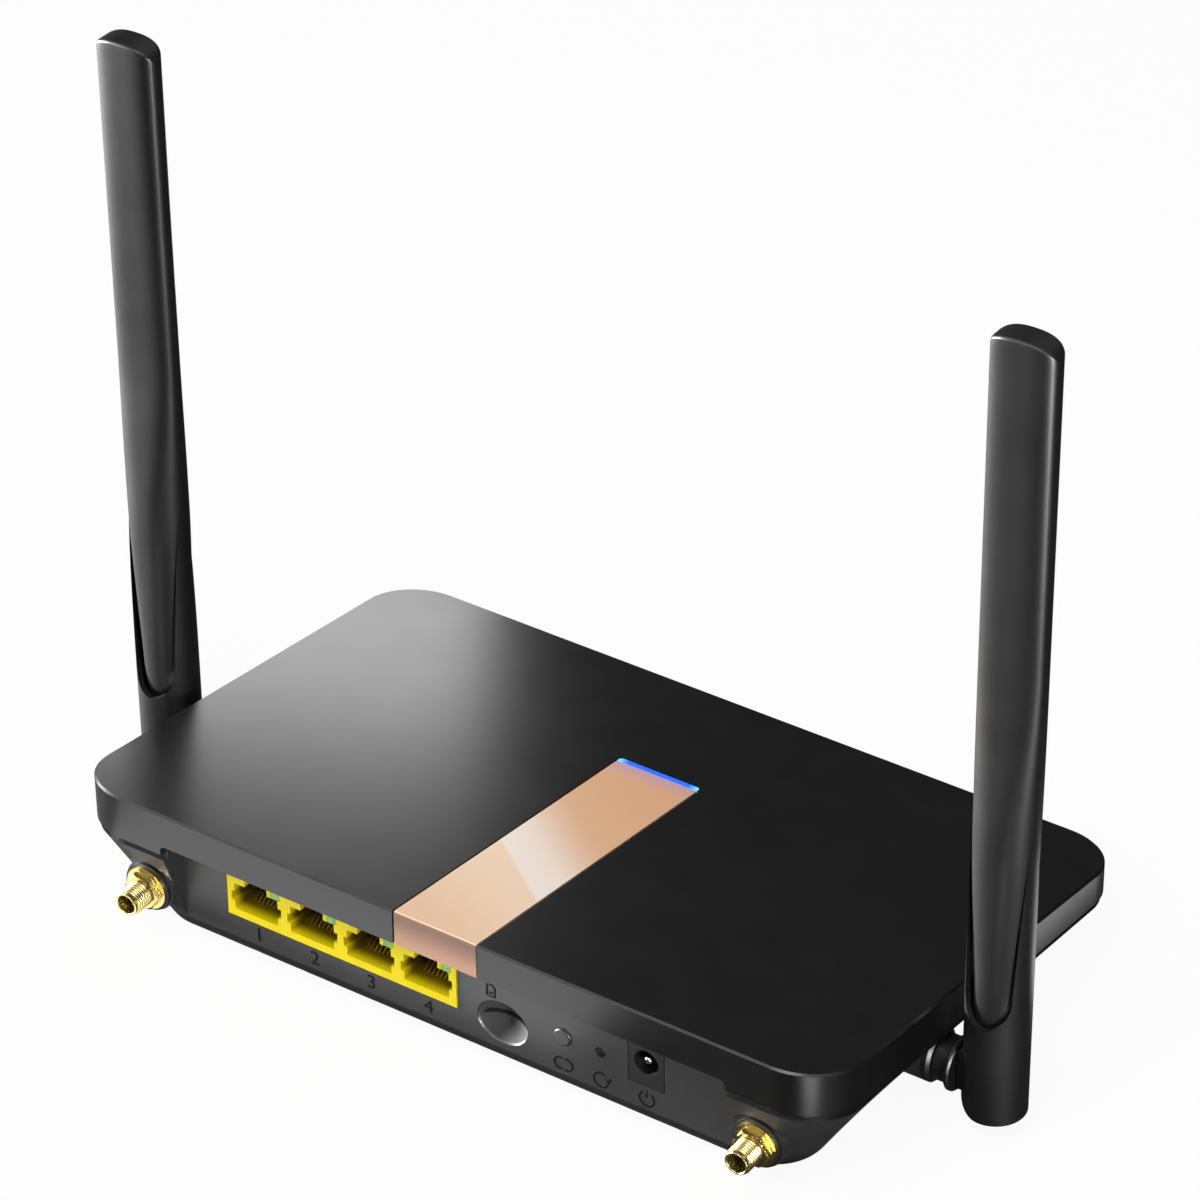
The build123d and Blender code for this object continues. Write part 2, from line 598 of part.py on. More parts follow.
def lamp_box(x, fit):
    """Lens beside the latch's channel, on the socket's -X side."""
    x0 = x - PORT_W / 2 - LAMP_OUT
    z0 = PORT_Z0 + PORT_H
    return block(x0 - fit, x0 + LAMP_W + fit, BLOCK_FACE_Y - LAMP_DEPTH - fit, BLOCK_FACE_Y + fit, z0, z0 + LAMP_H + fit)


def port_block():
    body = block(BLOCK_X_LO, BLOCK_X_HI, BLOCK_FACE_Y - BLOCK_DEPTH, BLOCK_FACE_Y, BOARD_TOP_Z, BOARD_TOP_Z + BLOCK_H)
    for x in port_places():
        body -= port_space(x)
        body -= lamp_box(x, LAMP_FIT)
    return body


def port_lamps():
    return Compound([lamp_box(x, 0) for x in port_places()])


def port_contacts():
    """Sprung wires that rise from the floor of each socket towards its back."""
    y_front = BLOCK_FACE_Y - WIRE_FRONT
    wires = []
    for x in port_places():
        for i in range(WIRE_COUNT):
            wx = x + (i - (WIRE_COUNT - 1) / 2) * WIRE_PITCH
            z = PORT_Z0
            side = [(y_front, z), (y_front, z + WIRE_T), (y_front - WIRE_RUN, z + WIRE_RISE),
                    (y_front - WIRE_RUN, z + WIRE_RISE - WIRE_T), (y_front - 2 * WIRE_T, z)]
            face = make_face(Plane.YZ * Polyline(*side, close=True))
            wires.append(Pos(wx - WIRE_T / 2, 0, 0) * extrude(face, WIRE_T, dir=(1, 0, 0)))
    return Compound(wires)


def sim_socket():
    """Card holder behind the dish, level with its slot."""
    y1 = PANEL_Y - DISH_DEPTH - DISH_WALL - FACE_GAP
    y0 = y1 - SIM_BODY_DEPTH
    top = SIM_SLOT_Z + SIM_SLOT_H / 2 + SIM_ROOF
    body = block(SIM_X - SIM_BODY_W / 2, SIM_X + SIM_BODY_W / 2, y0, y1, BOARD_TOP_Z, top)
    body -= block(SIM_X - SIM_SLOT_W / 2, SIM_X + SIM_SLOT_W / 2, y0 + 1.5, y1 + 1,
                  SIM_SLOT_Z - SIM_SLOT_H / 2, SIM_SLOT_Z + SIM_SLOT_H / 2)
    return body


def switch_front_y():
    return PANEL_BACK_Y - FLANGE_T - PRESS - FACE_GAP


def push_button(x, z, radius, face_y, crown):
    """Round button with a flange behind the panel and a stem that enters its switch."""
    body = rod_y(PANEL_BACK_Y - OVERLAP, face_y, x, z, radius)
    if crown:
        body = fillet(body.edges().group_by(Axis.Y)[-1], crown)
    body += rod_y(PANEL_BACK_Y - FLANGE_T, PANEL_BACK_Y, x, z, radius + BUTTON_FLANGE)
    body += rod_y(switch_front_y() - PRESS, PANEL_BACK_Y, x, z, STEM_R)
    return body


def push_switch(x, z):
    """Right-angle switch on the board, with a hole for the button's stem."""
    y1 = switch_front_y()
    body = block(x - SWITCH_W / 2, x + SWITCH_W / 2, y1 - SWITCH_D, y1, BOARD_TOP_Z, z + SWITCH_TOP)
    return body - rod_y(y1 - 2 * PRESS - FACE_GAP, y1 + 1, x, z, STEM_R + BUTTON_FIT)


def wps_button():
    return push_button(WPS_X, WPS_Z, WPS_R, PANEL_Y + WPS_PROUD, WPS_CROWN)


def wps_switch():
    return push_switch(WPS_X, WPS_Z)


def reset_plunger():
    return push_button(RESET_X, RESET_Z, RESET_R, PANEL_Y - RESET_SUNK, 0)


def reset_switch():
    return push_switch(RESET_X, RESET_Z)


def dc_jack():
    body = block(INLET_X - INLET_W / 2, INLET_X + INLET_W / 2, PANEL_Y - INLET_DEPTH, PANEL_Y,
                 INLET_Z - INLET_BELOW, INLET_Z + INLET_ABOVE)
    body += block(INLET_X - INLET_W / 2, INLET_X + INLET_W / 2, PANEL_Y - INLET_DEPTH, BOARD_REAR_Y,
                  BOARD_TOP_Z, INLET_Z)
    return body - rod_y(PANEL_Y - INLET_HOLE, PANEL_Y + 1, INLET_X, INLET_Z, INLET_R)


def dc_jack_pin():
    pin = rod_y(PANEL_Y - INLET_HOLE, PANEL_Y - INLET_HOLE + INLET_PIN_L, INLET_X, INLET_Z, INLET_PIN_R)
    return chamfer(pin.edges().group_by(Axis.Y)[-1], INLET_PIN_R / 3)


# ---- SMA sockets: drawn along +Z from the boss's face, then put in place -----------------------------------------
def nut_front():
    return GASKET_T + WASHER_T + NUT_T


def sma_barrel():
    inside = -2 * WALL - SMA_FLANGE_T
    body = rod_z(nut_front() + NUT_SHOW, SMA_REACH, 0, 0, SMA_LIP_R)
    body = chamfer(body.edges().group_by(Axis.Z)[-1], MOUTH_CHAMFER)
    body += rod_z(nut_front() + NUT_SHOW, SMA_REACH - SMA_LIP, 0, 0, SMA_R)
    body += rod_z(inside, nut_front() + NUT_SHOW, 0, 0, SMA_ROOT_R)
    body += rod_z(inside, -2 * WALL, 0, 0, SMA_FLANGE_R)
    body += rod_z(inside - SMA_TAIL, inside, 0, 0, SMA_TAIL_R)
    body -= rod_z(SMA_REACH - SMA_BORE, SMA_REACH + 1, 0, 0, SMA_BORE_R)
    return body - rod_z(inside - SMA_TAIL - 1, SMA_REACH, 0, 0, CONTACT_R + PRESS_FIT)


def ring_z(z0, z1, outer, inner):
    """Flat ring along Z."""
    return rod_z(z0, z1, 0, 0, outer) - rod_z(z0 - 1, z1 + 1, 0, 0, inner)


def sma_gasket():
    return ring_z(0, GASKET_T, GASKET_R, SMA_ROOT_R + PRESS_FIT)


def sma_washer():
    return ring_z(GASKET_T, GASKET_T + WASHER_T, WASHER_R, SMA_ROOT_R + PRESS_FIT)


def sma_nut():
    """Hexagonal nut with its corners turned down."""
    z0 = GASKET_T + WASHER_T
    nut = extrude(Pos(0, 0, z0) * RegularPolygon(NUT_AF / 2, 6, major_radius=False), NUT_T)
    turned = rod_z(z0, z0 + NUT_T, 0, 0, NUT_AF / math.sqrt(3))
    nut &= chamfer(turned.edges().group_by(Axis.Z)[-1], NUT_CHAMFER)
    return nut - rod_z(z0 - 1, z0 + NUT_T + 1, 0, 0, SMA_ROOT_R + PRESS_FIT)


def sma_insulator():
    low = SMA_REACH - SMA_BORE
    return ring_z(low, SMA_REACH - PTFE_BACK, SMA_BORE_R - PRESS_FIT, CONTACT_R + PRESS_FIT)


def sma_contact():
    low = -2 * WALL - SMA_FLANGE_T - SMA_TAIL
    return rod_z(low, SMA_REACH - PTFE_BACK + CONTACT_TIP, 0, 0, CONTACT_R)


# ---- antenna hinge and antenna: drawn for the +X side ------------------------------------------------------------
def hinge_bush():
    flange = rod_x(HINGE_BOSS_X, HINGE_BOSS_X + BUSH_FLANGE_T, HINGE_Y, HINGE_Z, BUSH_FLANGE_R)
    flange = chamfer(flange.edges().group_by(Axis.X)[-1], BUSH_CHAMFER)
    bush = flange + rod_x(HINGE_BOSS_IN, HINGE_BOSS_X, HINGE_Y, HINGE_Z, BUSH_R)
    return bush - rod_x(HINGE_BOSS_IN - 1, HINGE_BOSS_X + BUSH_FLANGE_T + 1, HINGE_Y, HINGE_Z, SHAFT_R + RUN_FIT)


def clip_x():
    return HINGE_BOSS_IN - FACE_GAP - CLIP_T


def hinge_base():
    """Swivelling knuckle: shaft, neck, collar that clears the swinging sleeve, and the tongue that holds the pin."""
    neck_x = HINGE_BOSS_X + BUSH_FLANGE_T + FACE_GAP
    collar_x = neck_x + NECK_L
    collar_end = PIN_X - SLEEVE_DROP - SLOT_FIT
    base = rod_x(clip_x() - CLIP_T, neck_x, HINGE_Y, HINGE_Z, SHAFT_R)
    base -= rod_x(clip_x(), clip_x() + CLIP_T, HINGE_Y, HINGE_Z, SHAFT_R + 1)
    base += rod_x(clip_x(), clip_x() + CLIP_T, HINGE_Y, HINGE_Z, SHAFT_R - CLIP_GROOVE)
    base += rod_x(neck_x, collar_x, HINGE_Y, HINGE_Z, NECK_R)
    collar = rod_x(collar_x, collar_end, HINGE_Y, HINGE_Z, COLLAR_R)
    base += chamfer(collar.edges().filter_by(GeomType.CIRCLE), COLLAR_CHAMFER)
    tongue = block(collar_end - OVERLAP, PIN_X, HINGE_Y - TONGUE_T / 2, HINGE_Y + TONGUE_T / 2,
                   HINGE_Z - TONGUE_R, HINGE_Z + TONGUE_R)
    tongue += rod_y(HINGE_Y - TONGUE_T / 2, HINGE_Y + TONGUE_T / 2, PIN_X, HINGE_Z, TONGUE_R)
    base += tongue
    base -= rod_y(HINGE_Y - TONGUE_T, HINGE_Y + TONGUE_T, PIN_X, HINGE_Z, PIN_R + RUN_FIT)
    return base - rod_x(clip_x() - CLIP_T - 1, PIN_X - TONGUE_R, HINGE_Y, HINGE_Z, LEAD_BORE_R)


def hinge_clip():
    ring = rod_x(clip_x(), clip_x() + CLIP_T, HINGE_Y, HINGE_Z, CLIP_R)
    return ring - rod_x(clip_x() - 1, clip_x() + CLIP_T + 1, HINGE_Y, HINGE_Z, SHAFT_R - CLIP_GROOVE + PRESS_FIT)


def pin_half():
    return SLEEVE_R - PIN_CAP


def hinge_pin():
    return rod_y(HINGE_Y - pin_half(), HINGE_Y + pin_half(), PIN_X, HINGE_Z, PIN_R)


def blade_section(width, thick, radius, grow, z, y=BLADE_Y):
    """Rounded cross-section of the antenna at height z."""
    return Pos(PIN_X, y, z) * RectangleRounded(width + 2 * grow, thick + 2 * grow, radius + grow)


def blade_foot(grow):
    """Lower blade: round in its socket, flattening to the full blade, larger by grow."""
    foot = 2 * BLADE_FOOT_R
    socket = blade_section(foot, foot, BLADE_FOOT_R - OVERLAP, grow, BLADE_Z, HINGE_Y)
    waist = blade_section(BLADE_WAIST_W, BLADE_WAIST_T, BLADE_WAIST_R, grow, BLADE_WAIST_Z, HINGE_Y)
    full = blade_section(BLADE_W, BLADE_T, BLADE_R, grow, BLADE_FULL_Z)
    return loft([socket, waist], ruled=True) + loft([waist, full], ruled=True)


def blade_top():
    """Upper blade, with a domed and rounded end."""
    rise = BLADE_TOP_Z - BLADE_FULL_Z
    body = extrude(blade_section(BLADE_W, BLADE_T, BLADE_R, 0, BLADE_FULL_Z), rise + 1)
    body -= rod_z(BLADE_TOP_Z - BLADE_DOME_R / 2, BLADE_TOP_Z + 2, PIN_X, BLADE_Y, BLADE_W) - dome_ball()
    return fillet(body.faces().sort_by(Axis.Z)[-1].edges(), BLADE_EDGE)


def dome_ball():
    return Pos(PIN_X, BLADE_Y, BLADE_TOP_Z - BLADE_DOME_R) * Sphere(BLADE_DOME_R)


def antenna_blade():
    hollow_top = BLADE_TOP_Z - BLADE_TOP_WALL
    hollow = blade_foot(-BLADE_WALL)
    hollow += extrude(blade_section(BLADE_W, BLADE_T, BLADE_R, -BLADE_WALL, BLADE_FULL_Z), hollow_top - BLADE_FULL_Z)
    return blade_foot(0) + blade_top() - hollow


def scoop():
    """U-shaped opening through the sleeve that widens upward to the sleeve's full width."""
    z = SCOOP_Z + SCOOP_ROUND
    end = Ellipse(SCOOP_W / 2, SCOOP_ROUND)
    sides = [(-SCOOP_W / 2, 0), (SCOOP_W / 2, 0), (SLEEVE_R, SLEEVE_TOP_Z - z), (-SLEEVE_R, SLEEVE_TOP_Z - z)]
    shape = end + make_face(Polyline(*sides, close=True))
    return extrude(Pos(PIN_X, HINGE_Y + 2 * SLEEVE_R, z) * Rot(90, 0, 0) * shape, 4 * SLEEVE_R)


def hinge_slot():
    """Slot in the sleeve for the tongue, open towards the case and at the lower end."""
    half = TONGUE_T / 2 + SLOT_FIT
    clear = TONGUE_R + SLOT_FIT
    low = HINGE_Z - SLEEVE_DROP - 1
    slot = rod_y(HINGE_Y - half, HINGE_Y + half, PIN_X, HINGE_Z, clear)
    slot += block(PIN_X - SLEEVE_R - 1, PIN_X, HINGE_Y - half, HINGE_Y + half, HINGE_Z - clear, HINGE_Z + clear)
    slot += block(PIN_X - SLEEVE_R - 1, PIN_X, HINGE_Y - half, HINGE_Y + half, low, HINGE_Z)
    slot += block(PIN_X - OVERLAP, PIN_X + clear, HINGE_Y - half, HINGE_Y + half, low, HINGE_Z)
    return slot


def antenna_sleeve():
    """Round sleeve that turns on the tilt pin and holds the blade in its scooped upper end."""
    low = HINGE_Z - SLEEVE_DROP
    sleeve = rod_z(low, SLEEVE_TOP_Z, PIN_X, HINGE_Y, SLEEVE_R)
    sleeve -= scoop()
    sleeve -= blade_foot(BLADE_SEAM)
    swing = rod_y(HINGE_Y - 2 * SLEEVE_R, HINGE_Y + 2 * SLEEVE_R, PIN_X, HINGE_Z, SLEEVE_DROP)
    corner = block(PIN_X - 2 * SLEEVE_R, PIN_X, HINGE_Y - 2 * SLEEVE_R, HINGE_Y + 2 * SLEEVE_R, low - 1, HINGE_Z)
    sleeve -= corner - swing
    sleeve -= hinge_slot()
    sleeve -= rod_y(HINGE_Y - pin_half() - PRESS_FIT, HINGE_Y + pin_half() + PRESS_FIT, PIN_X, HINGE_Z, PIN_R + PRESS_FIT)
    return sleeve - rod_z(HINGE_Z, BLADE_Z + 1, PIN_X, HINGE_Y, LEAD_BORE_R)


def antenna_element():
    """Radiator strip held in the blade."""
    top = BLADE_TOP_Z - BLADE_TOP_WALL - ELEMENT_TOP_GAP
    return block(PIN_X - ELEMENT_W / 2, PIN_X + ELEMENT_W / 2, BLADE_Y - ELEMENT_T / 2, BLADE_Y + ELEMENT_T / 2,
                 BLADE_Z, top)


PIECES = {
    "top_cover": top_cover,
    "bottom_shell": bottom_shell,
    "accent_strip": accent_strip,
    "light_bar": light_bar,
    "light_guide": light_guide,
    "status_leds": status_leds,
    "rubber_feet": rubber_feet,
    "case_screws": case_screws,
    "main_board": main_board,
    "shield_cans": shield_cans,
    "heat_sink": heat_sink,
    "lte_module": lte_module,
    "port_block": port_block,
    "port_lamps": port_lamps,
    "port_contacts": port_contacts,
    "sim_socket": sim_socket,
    "wps_button": wps_button,
    "wps_switch": wps_switch,
    "reset_plunger": reset_plunger,
    "reset_switch": reset_switch,
    "dc_jack": dc_jack,
    "dc_jack_pin": dc_jack_pin,
}
SMA_PIECES = {
    "sma_barrel": sma_barrel,
    "sma_gasket": sma_gasket,
    "sma_washer": sma_washer,
    "sma_nut": sma_nut,
    "sma_insulator": sma_insulator,
    "sma_contact": sma_contact,
}
SIDE_PIECES = {
    "hinge_bush": hinge_bush,
    "hinge_base": hinge_base,
    "hinge_clip": hinge_clip,
    "hinge_pin": hinge_pin,
    "antenna_sleeve": antenna_sleeve,
    "antenna_blade": antenna_blade,
    "antenna_element": antenna_element,
}


def save(name, piece):
    export_step(Pos(0, -ORIGIN_Y, 0) * piece, f"parts/{name}.step")


os.makedirs("parts", exist_ok=True)
for name, make in PIECES.items():
    save(name, make())
for name, make in SMA_PIECES.items():
    piece = make()
    for side_name, side in SIDES.items():
        save(f"{name}_{side_name}", sma_place(side) * piece)
for name, make in SIDE_PIECES.items():
    piece = make()
    for side_name, side in SIDES.items():
        save(f"{name}_{side_name}", mirrored(piece, side))
print("origin is", round(ORIGIN_Y, 3), "behind the middle of the case")
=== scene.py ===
"""Looks of a wireless router: a Blender add-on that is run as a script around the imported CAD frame.

Metres, +Z up. The ports face +Y, so +X is on the left of someone who looks at the ports.
"""
import math

import bpy
import numpy as np
from bpy.props import FloatProperty, FloatVectorProperty, PointerProperty
from bpy.types import Operator, Panel, PropertyGroup
from mathutils import Matrix, Vector


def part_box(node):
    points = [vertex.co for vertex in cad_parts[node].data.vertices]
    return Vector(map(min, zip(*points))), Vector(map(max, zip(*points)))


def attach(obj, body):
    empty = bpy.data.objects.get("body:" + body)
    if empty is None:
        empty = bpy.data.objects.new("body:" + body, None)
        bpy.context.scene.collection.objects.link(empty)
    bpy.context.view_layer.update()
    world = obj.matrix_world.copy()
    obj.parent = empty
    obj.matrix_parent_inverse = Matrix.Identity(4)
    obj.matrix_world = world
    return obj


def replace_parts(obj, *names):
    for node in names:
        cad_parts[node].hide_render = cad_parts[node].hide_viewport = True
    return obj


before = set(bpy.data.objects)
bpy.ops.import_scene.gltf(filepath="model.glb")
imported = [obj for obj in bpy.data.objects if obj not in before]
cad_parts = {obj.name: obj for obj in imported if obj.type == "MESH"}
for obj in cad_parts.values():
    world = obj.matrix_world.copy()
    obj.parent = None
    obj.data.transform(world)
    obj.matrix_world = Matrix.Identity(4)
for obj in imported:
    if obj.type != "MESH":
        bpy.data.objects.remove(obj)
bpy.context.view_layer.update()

bl_info = {
    "name": "Wireless router",
    "version": (1, 0, 0),
    "blender": (4, 5, 0),
    "location": "View3D > Sidebar > Router",
    "description": "Finishes, fine detail and stage of a wireless router",
    "category": "Object",
}

SIDES = ("left", "right")

# Places on the port panel, in metres. A dish is the shallow bowl about the SIM socket.
PANEL_Y = 0.0536
PORT_X = (0.0539, 0.0384, 0.0229, 0.0074)
DISH_X, DISH_Z, DISH_RADIUS, DISH_SQUASH = -0.0124, 0.0134, 0.0064, 1.19
LABEL_Y = PANEL_Y + 0.00004
LABEL_Z = 0.0092
LABEL_THICKNESS = 0.00005
ICON_UNIT = 0.0019
ARC_POINTS = 40

# How far the edge of the painted sheen, a painted reflection, runs along the strip, in strip lengths, for each metre
# across it.
PAINTED_SHEEN_SLANT = 9.1

# Share of plain white in what the eye sees of the floor, and the world's light at the horizon and as a fill.
FLOOR_WHITE = 0.93
HORIZON_LIGHT = 0.04
FILL_LIGHT = 0.45

# Lamps that show only in reflections: name, middle, target, width, height and watts. Those at a height of 2 mm lie
# on the floor and face up.
PANELS = (
    ("cover_sheen", (0.176, -0.112, 0.068), (0.112, -0.03, 0.028), 0.13, 0.06, 0.13),
    ("face_sheen", (1.54, 0.46, 0.15), (0, 0.02, 0.10), 0.50, 0.30, 270.0),
    ("band_sheen", (0.048, 0.093, 0.002), (0.048, 0.093, 1.0), 0.14, 0.056, 0.050),
    ("foot_sheen", (0.170, 0.105, 0.002), (0.170, 0.105, 1.0), 0.05, 0.07, 0.014),
    ("corner_sheen", (-0.124, 0.096, 0.002), (-0.124, 0.096, 1.0), 0.022, 0.03, 0.010),
    ("side_sheen", (-0.128, -0.062, 0.002), (-0.128, -0.062, 1.0), 0.03, 0.05, 0.012),
    ("corner_line", (-0.47, 0.27, 0.11), (0, 0.03, 0.08), 0.04, 0.18, 7.5),
)


# ---- shader maths ------------------------------------------------------------------------------------------------
class Value:
    """A number socket that takes part in Python arithmetic: each operator adds one Math node."""

    def __init__(self, tree, socket):
        self.tree = tree
        self.socket = socket

    def math(self, operation, *others):
        """One Math node of this operation on the socket and the others."""
        node = self.tree.nodes.new("ShaderNodeMath")
        node.operation = operation
        for entry, value in zip(node.inputs, (self, *others)):
            connect(self.tree, entry, value)
        return Value(self.tree, node.outputs[0])

    def __add__(self, other):
        return self.math("ADD", other)

    def __mul__(self, other):
        return self.math("MULTIPLY", other)

    def __sub__(self, other):
        return self.math("SUBTRACT", other)

    def __rsub__(self, other):
        return self.math("MULTIPLY", -1.0).math("ADD", other)

    def __truediv__(self, other):
        return self.math("DIVIDE", other)

    def __pow__(self, other):
        return self.math("POWER", other)

    def __abs__(self):
        return self.math("ABSOLUTE")

    def step(self, low, high):
        """0 below low, 1 above high, and a smooth rise between them."""
        node = self.tree.nodes.new("ShaderNodeMapRange")
        node.interpolation_type = "SMOOTHSTEP"
        for entry, value in zip(node.inputs, (self, low, high, 0.0, 1.0)):
            connect(self.tree, entry, value)
        return Value(self.tree, node.outputs[0])


def connect(tree, entry, value):
    """Links a socket, or sets a plain value."""
    if isinstance(value, Value):
        value = value.socket
    if isinstance(value, bpy.types.NodeSocket):
        tree.links.new(entry, value)
    elif isinstance(value, (tuple, list)) and len(value) == 3 and entry.type == "RGBA":
        entry.default_value = (*value, 1.0)
    else:
        entry.default_value = value


class Finish:
    """One material: a Principled surface and the nodes that feed it."""

    def __init__(self, name, **sockets):
        self.material = bpy.data.materials.new(name)
        self.material.use_nodes = True
        self.tree = self.material.node_tree
        self.surface = self.tree.nodes["Principled BSDF"]
        self.out = self.tree.nodes["Material Output"]
        self.set(**sockets)
        self.place = self.tree.nodes.new("ShaderNodeTexCoord").outputs["Object"]

    def set(self, **sockets):
        """Links or sets the surface's sockets, by name."""
        for name, value in sockets.items():
            connect(self.tree, self.surface.inputs[name.replace("_", " ")], value)

    def node(self, kind, settings=None, **sockets):
        """A node of this kind, its settings first and then its sockets, by name."""
        made = self.tree.nodes.new(kind)
        for name, value in (settings or {}).items():
            setattr(made, name, value)
        for name, value in sockets.items():
            connect(self.tree, made.inputs[name.replace("_", " ")], value)
        return made

    def axes(self):
        """X, Y and Z of the object's own coordinates, in metres."""
        split = self.node("ShaderNodeSeparateXYZ", Vector=self.place)
        return [Value(self.tree, socket) for socket in split.outputs]

    def noise(self, size, detail=2.0, roughness=0.5):
        """Noise whose lumps are about size metres across."""
        made = self.node("ShaderNodeTexNoise", Vector=self.place, Scale=1.0 / size, Detail=detail,
                         Roughness=roughness)
        return Value(self.tree, made.outputs["Fac"])

    def blend(self, factor, first, second):
        """Colour between first and second."""
        made = self.node("ShaderNodeMix", {"data_type": "RGBA"})
        for entry, value in zip((made.inputs[0], made.inputs[6], made.inputs[7]), (factor, first, second)):
            connect(self.tree, entry, value)
        return made.outputs[2]

    def bump(self, height, depth):
        """Adds relief of depth metres where height runs from 0 to 1."""
        self.set(Normal=self.node("ShaderNodeBump", Height=height, Distance=depth, Strength=1.0).outputs["Normal"])


def moulded(name, color, roughness, grain, depth, specular=0.5):
    """Moulded plastic: fine eroded grain, a faint mottling and a little wear in the gloss."""
    finish = Finish(name, Specular_IOR_Level=specular)
    mottle = finish.noise(0.012, 3.0)
    fine = finish.noise(grain, 3.0, 0.6)
    lighter = tuple(min(1.0, c * 1.25) for c in color)
    finish.set(Base_Color=finish.blend(mottle.step(0.35, 0.7), color, lighter))
    finish.set(Roughness=fine * 0.10 + mottle * 0.05 + (roughness - 0.075))
    finish.bump(fine, depth)
    return finish


def metal(name, color, roughness, scratch):
    """Plated metal with faint turning marks."""
    finish = Finish(name, Metallic=1.0)
    fine = finish.noise(scratch, 4.0, 0.6)
    cloud = finish.noise(0.003, 2.0)
    darker = tuple(c * 0.88 for c in color)
    finish.set(Base_Color=finish.blend(cloud, darker, color), Roughness=fine * 0.12 + (roughness - 0.06))
    finish.bump(fine, 0.00001)
    return finish


# ---- surfaces ----------------------------------------------------------------------------------------------------
def mesh_piece(name, points, faces, finish, body, crease=30.0):
    """An object from whole arrays of points (metres) and faces, smooth but for edges sharper than crease degrees."""
    mesh = bpy.data.meshes.new(name)
    mesh.from_pydata(points.tolist(), [], [face for block in faces for face in block.tolist()])
    mesh.polygons.foreach_set("use_smooth", np.ones(len(mesh.polygons), bool))
    mesh.set_sharp_from_angle(angle=math.radians(crease))
    mesh.materials.append(finish.material)
    made = bpy.data.objects.new(name, mesh)
    bpy.context.scene.collection.objects.link(made)
    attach(made, body)
    return made


def rings(points):
    """Points and faces of a closed skin through an array of rings (ring, place on ring, xyz).

    Neighbouring rings are joined by quads, the seam wraps round, and a fan to the middle closes each end. Faces are
    turned when the volume, the sum of the corner products over the faces, comes out negative.
    """
    rows, columns = points.shape[:2]
    row, place = np.meshgrid(np.arange(rows - 1), np.arange(columns), indexing="ij")
    after = (place + 1) % columns
    quads = np.stack([row * columns + place, row * columns + after,
                      (row + 1) * columns + after, (row + 1) * columns + place], -1).reshape(-1, 4)
    around = np.arange(columns)
    following = (around + 1) % columns
    first = np.stack([np.full(columns, rows * columns), following, around], -1)
    last = np.stack([np.full(columns, rows * columns + 1), (rows - 1) * columns + around,
                     (rows - 1) * columns + following], -1)
    everything = np.vstack([points.reshape(-1, 3), points[0].mean(0), points[-1].mean(0)])
    a, b, c = (everything[quads[:, k]] for k in (0, 1, 2))
    d, e, f = (everything[quads[:, k]] for k in (0, 2, 3))
    volume = np.einsum("ij,ij", a, np.cross(b, c)) + np.einsum("ij,ij", d, np.cross(e, f))
    a, b, c = (everything[np.vstack([first, last])[:, k]] for k in (0, 1, 2))
    volume += np.einsum("ij,ij", a, np.cross(b, c))
    faces = [quads, first, last]
    return everything, faces if volume > 0 else [block[:, ::-1] for block in faces]


def smooth(value, low, high):
    """0 below low, 1 above high and 3t^2 - 2t^3 between, of a whole array."""
    t = np.clip((value - low) / (high - low), 0.0, 1.0)
    return t * t * (3.0 - 2.0 * t)


def power(base, exponent):
    """base to the exponent with its sign kept."""
    return np.sign(base) * np.abs(base) ** exponent


def turned(profile, x, z, columns, ripple):
    """Rings of a turned shape about a line along Y at (x, z).

    profile holds (y, radius) from end to end, and ripple(y, angle) is added to the radius.
    """
    y, radius = (np.asarray(column)[:, None] for column in zip(*profile))
    angle = np.arange(columns)[None, :] * 2 * np.pi / columns
    radius = radius + ripple(y, angle)
    y = y + 0 * angle
    return np.stack([x + radius * np.cos(angle), y, z + radius * np.sin(angle)], -1)


# ---- settings ----------------------------------------------------------------------------------------------------
class RouterColors(PropertyGroup):
    cover: FloatVectorProperty(name="Cover", description="Textured black of the cover", subtype="COLOR",
                               default=(0.0035, 0.0035, 0.0037), min=0, max=1)
    shell: FloatVectorProperty(name="Shell", description="Black of the bottom shell and its port panel",
                               subtype="COLOR", default=(0.030, 0.030, 0.031), min=0, max=1)
    antenna: FloatVectorProperty(name="Antenna", description="Satin black of the antennas", subtype="COLOR",
                                 default=(0.0045, 0.0045, 0.0047), min=0, max=1)
    strip: FloatVectorProperty(name="Strip", description="Rose gold of the accent strip", subtype="COLOR",
                               default=(0.89, 0.565, 0.35), min=0, max=1)
    # The sheen colour is a painted highlight: the palest part of the reflection painted into the strip's colour.
    sheen: FloatVectorProperty(name="Sheen", description="Palest part of the accent strip's brushed sheen",
                               subtype="COLOR", default=(1.0, 0.90, 0.80), min=0, max=1)
    light: FloatVectorProperty(name="Light", description="Blue of the light bar", subtype="COLOR",
                               default=(0.01, 0.08, 1.0), min=0, max=1)
    ports: FloatVectorProperty(name="Ports", description="Yellow of the Ethernet block", subtype="COLOR",
                               default=(1.0, 0.80, 0.0), min=0, max=1)
    gold: FloatVectorProperty(name="Gold", description="Plating of the aerial sockets", subtype="COLOR",
                              default=(0.60, 0.49, 0.20), min=0, max=1)
    labels: FloatVectorProperty(name="Labels", description="Dark of the numbers and icons on the port panel",
                                subtype="COLOR", default=(0.002, 0.002, 0.002), min=0, max=1)


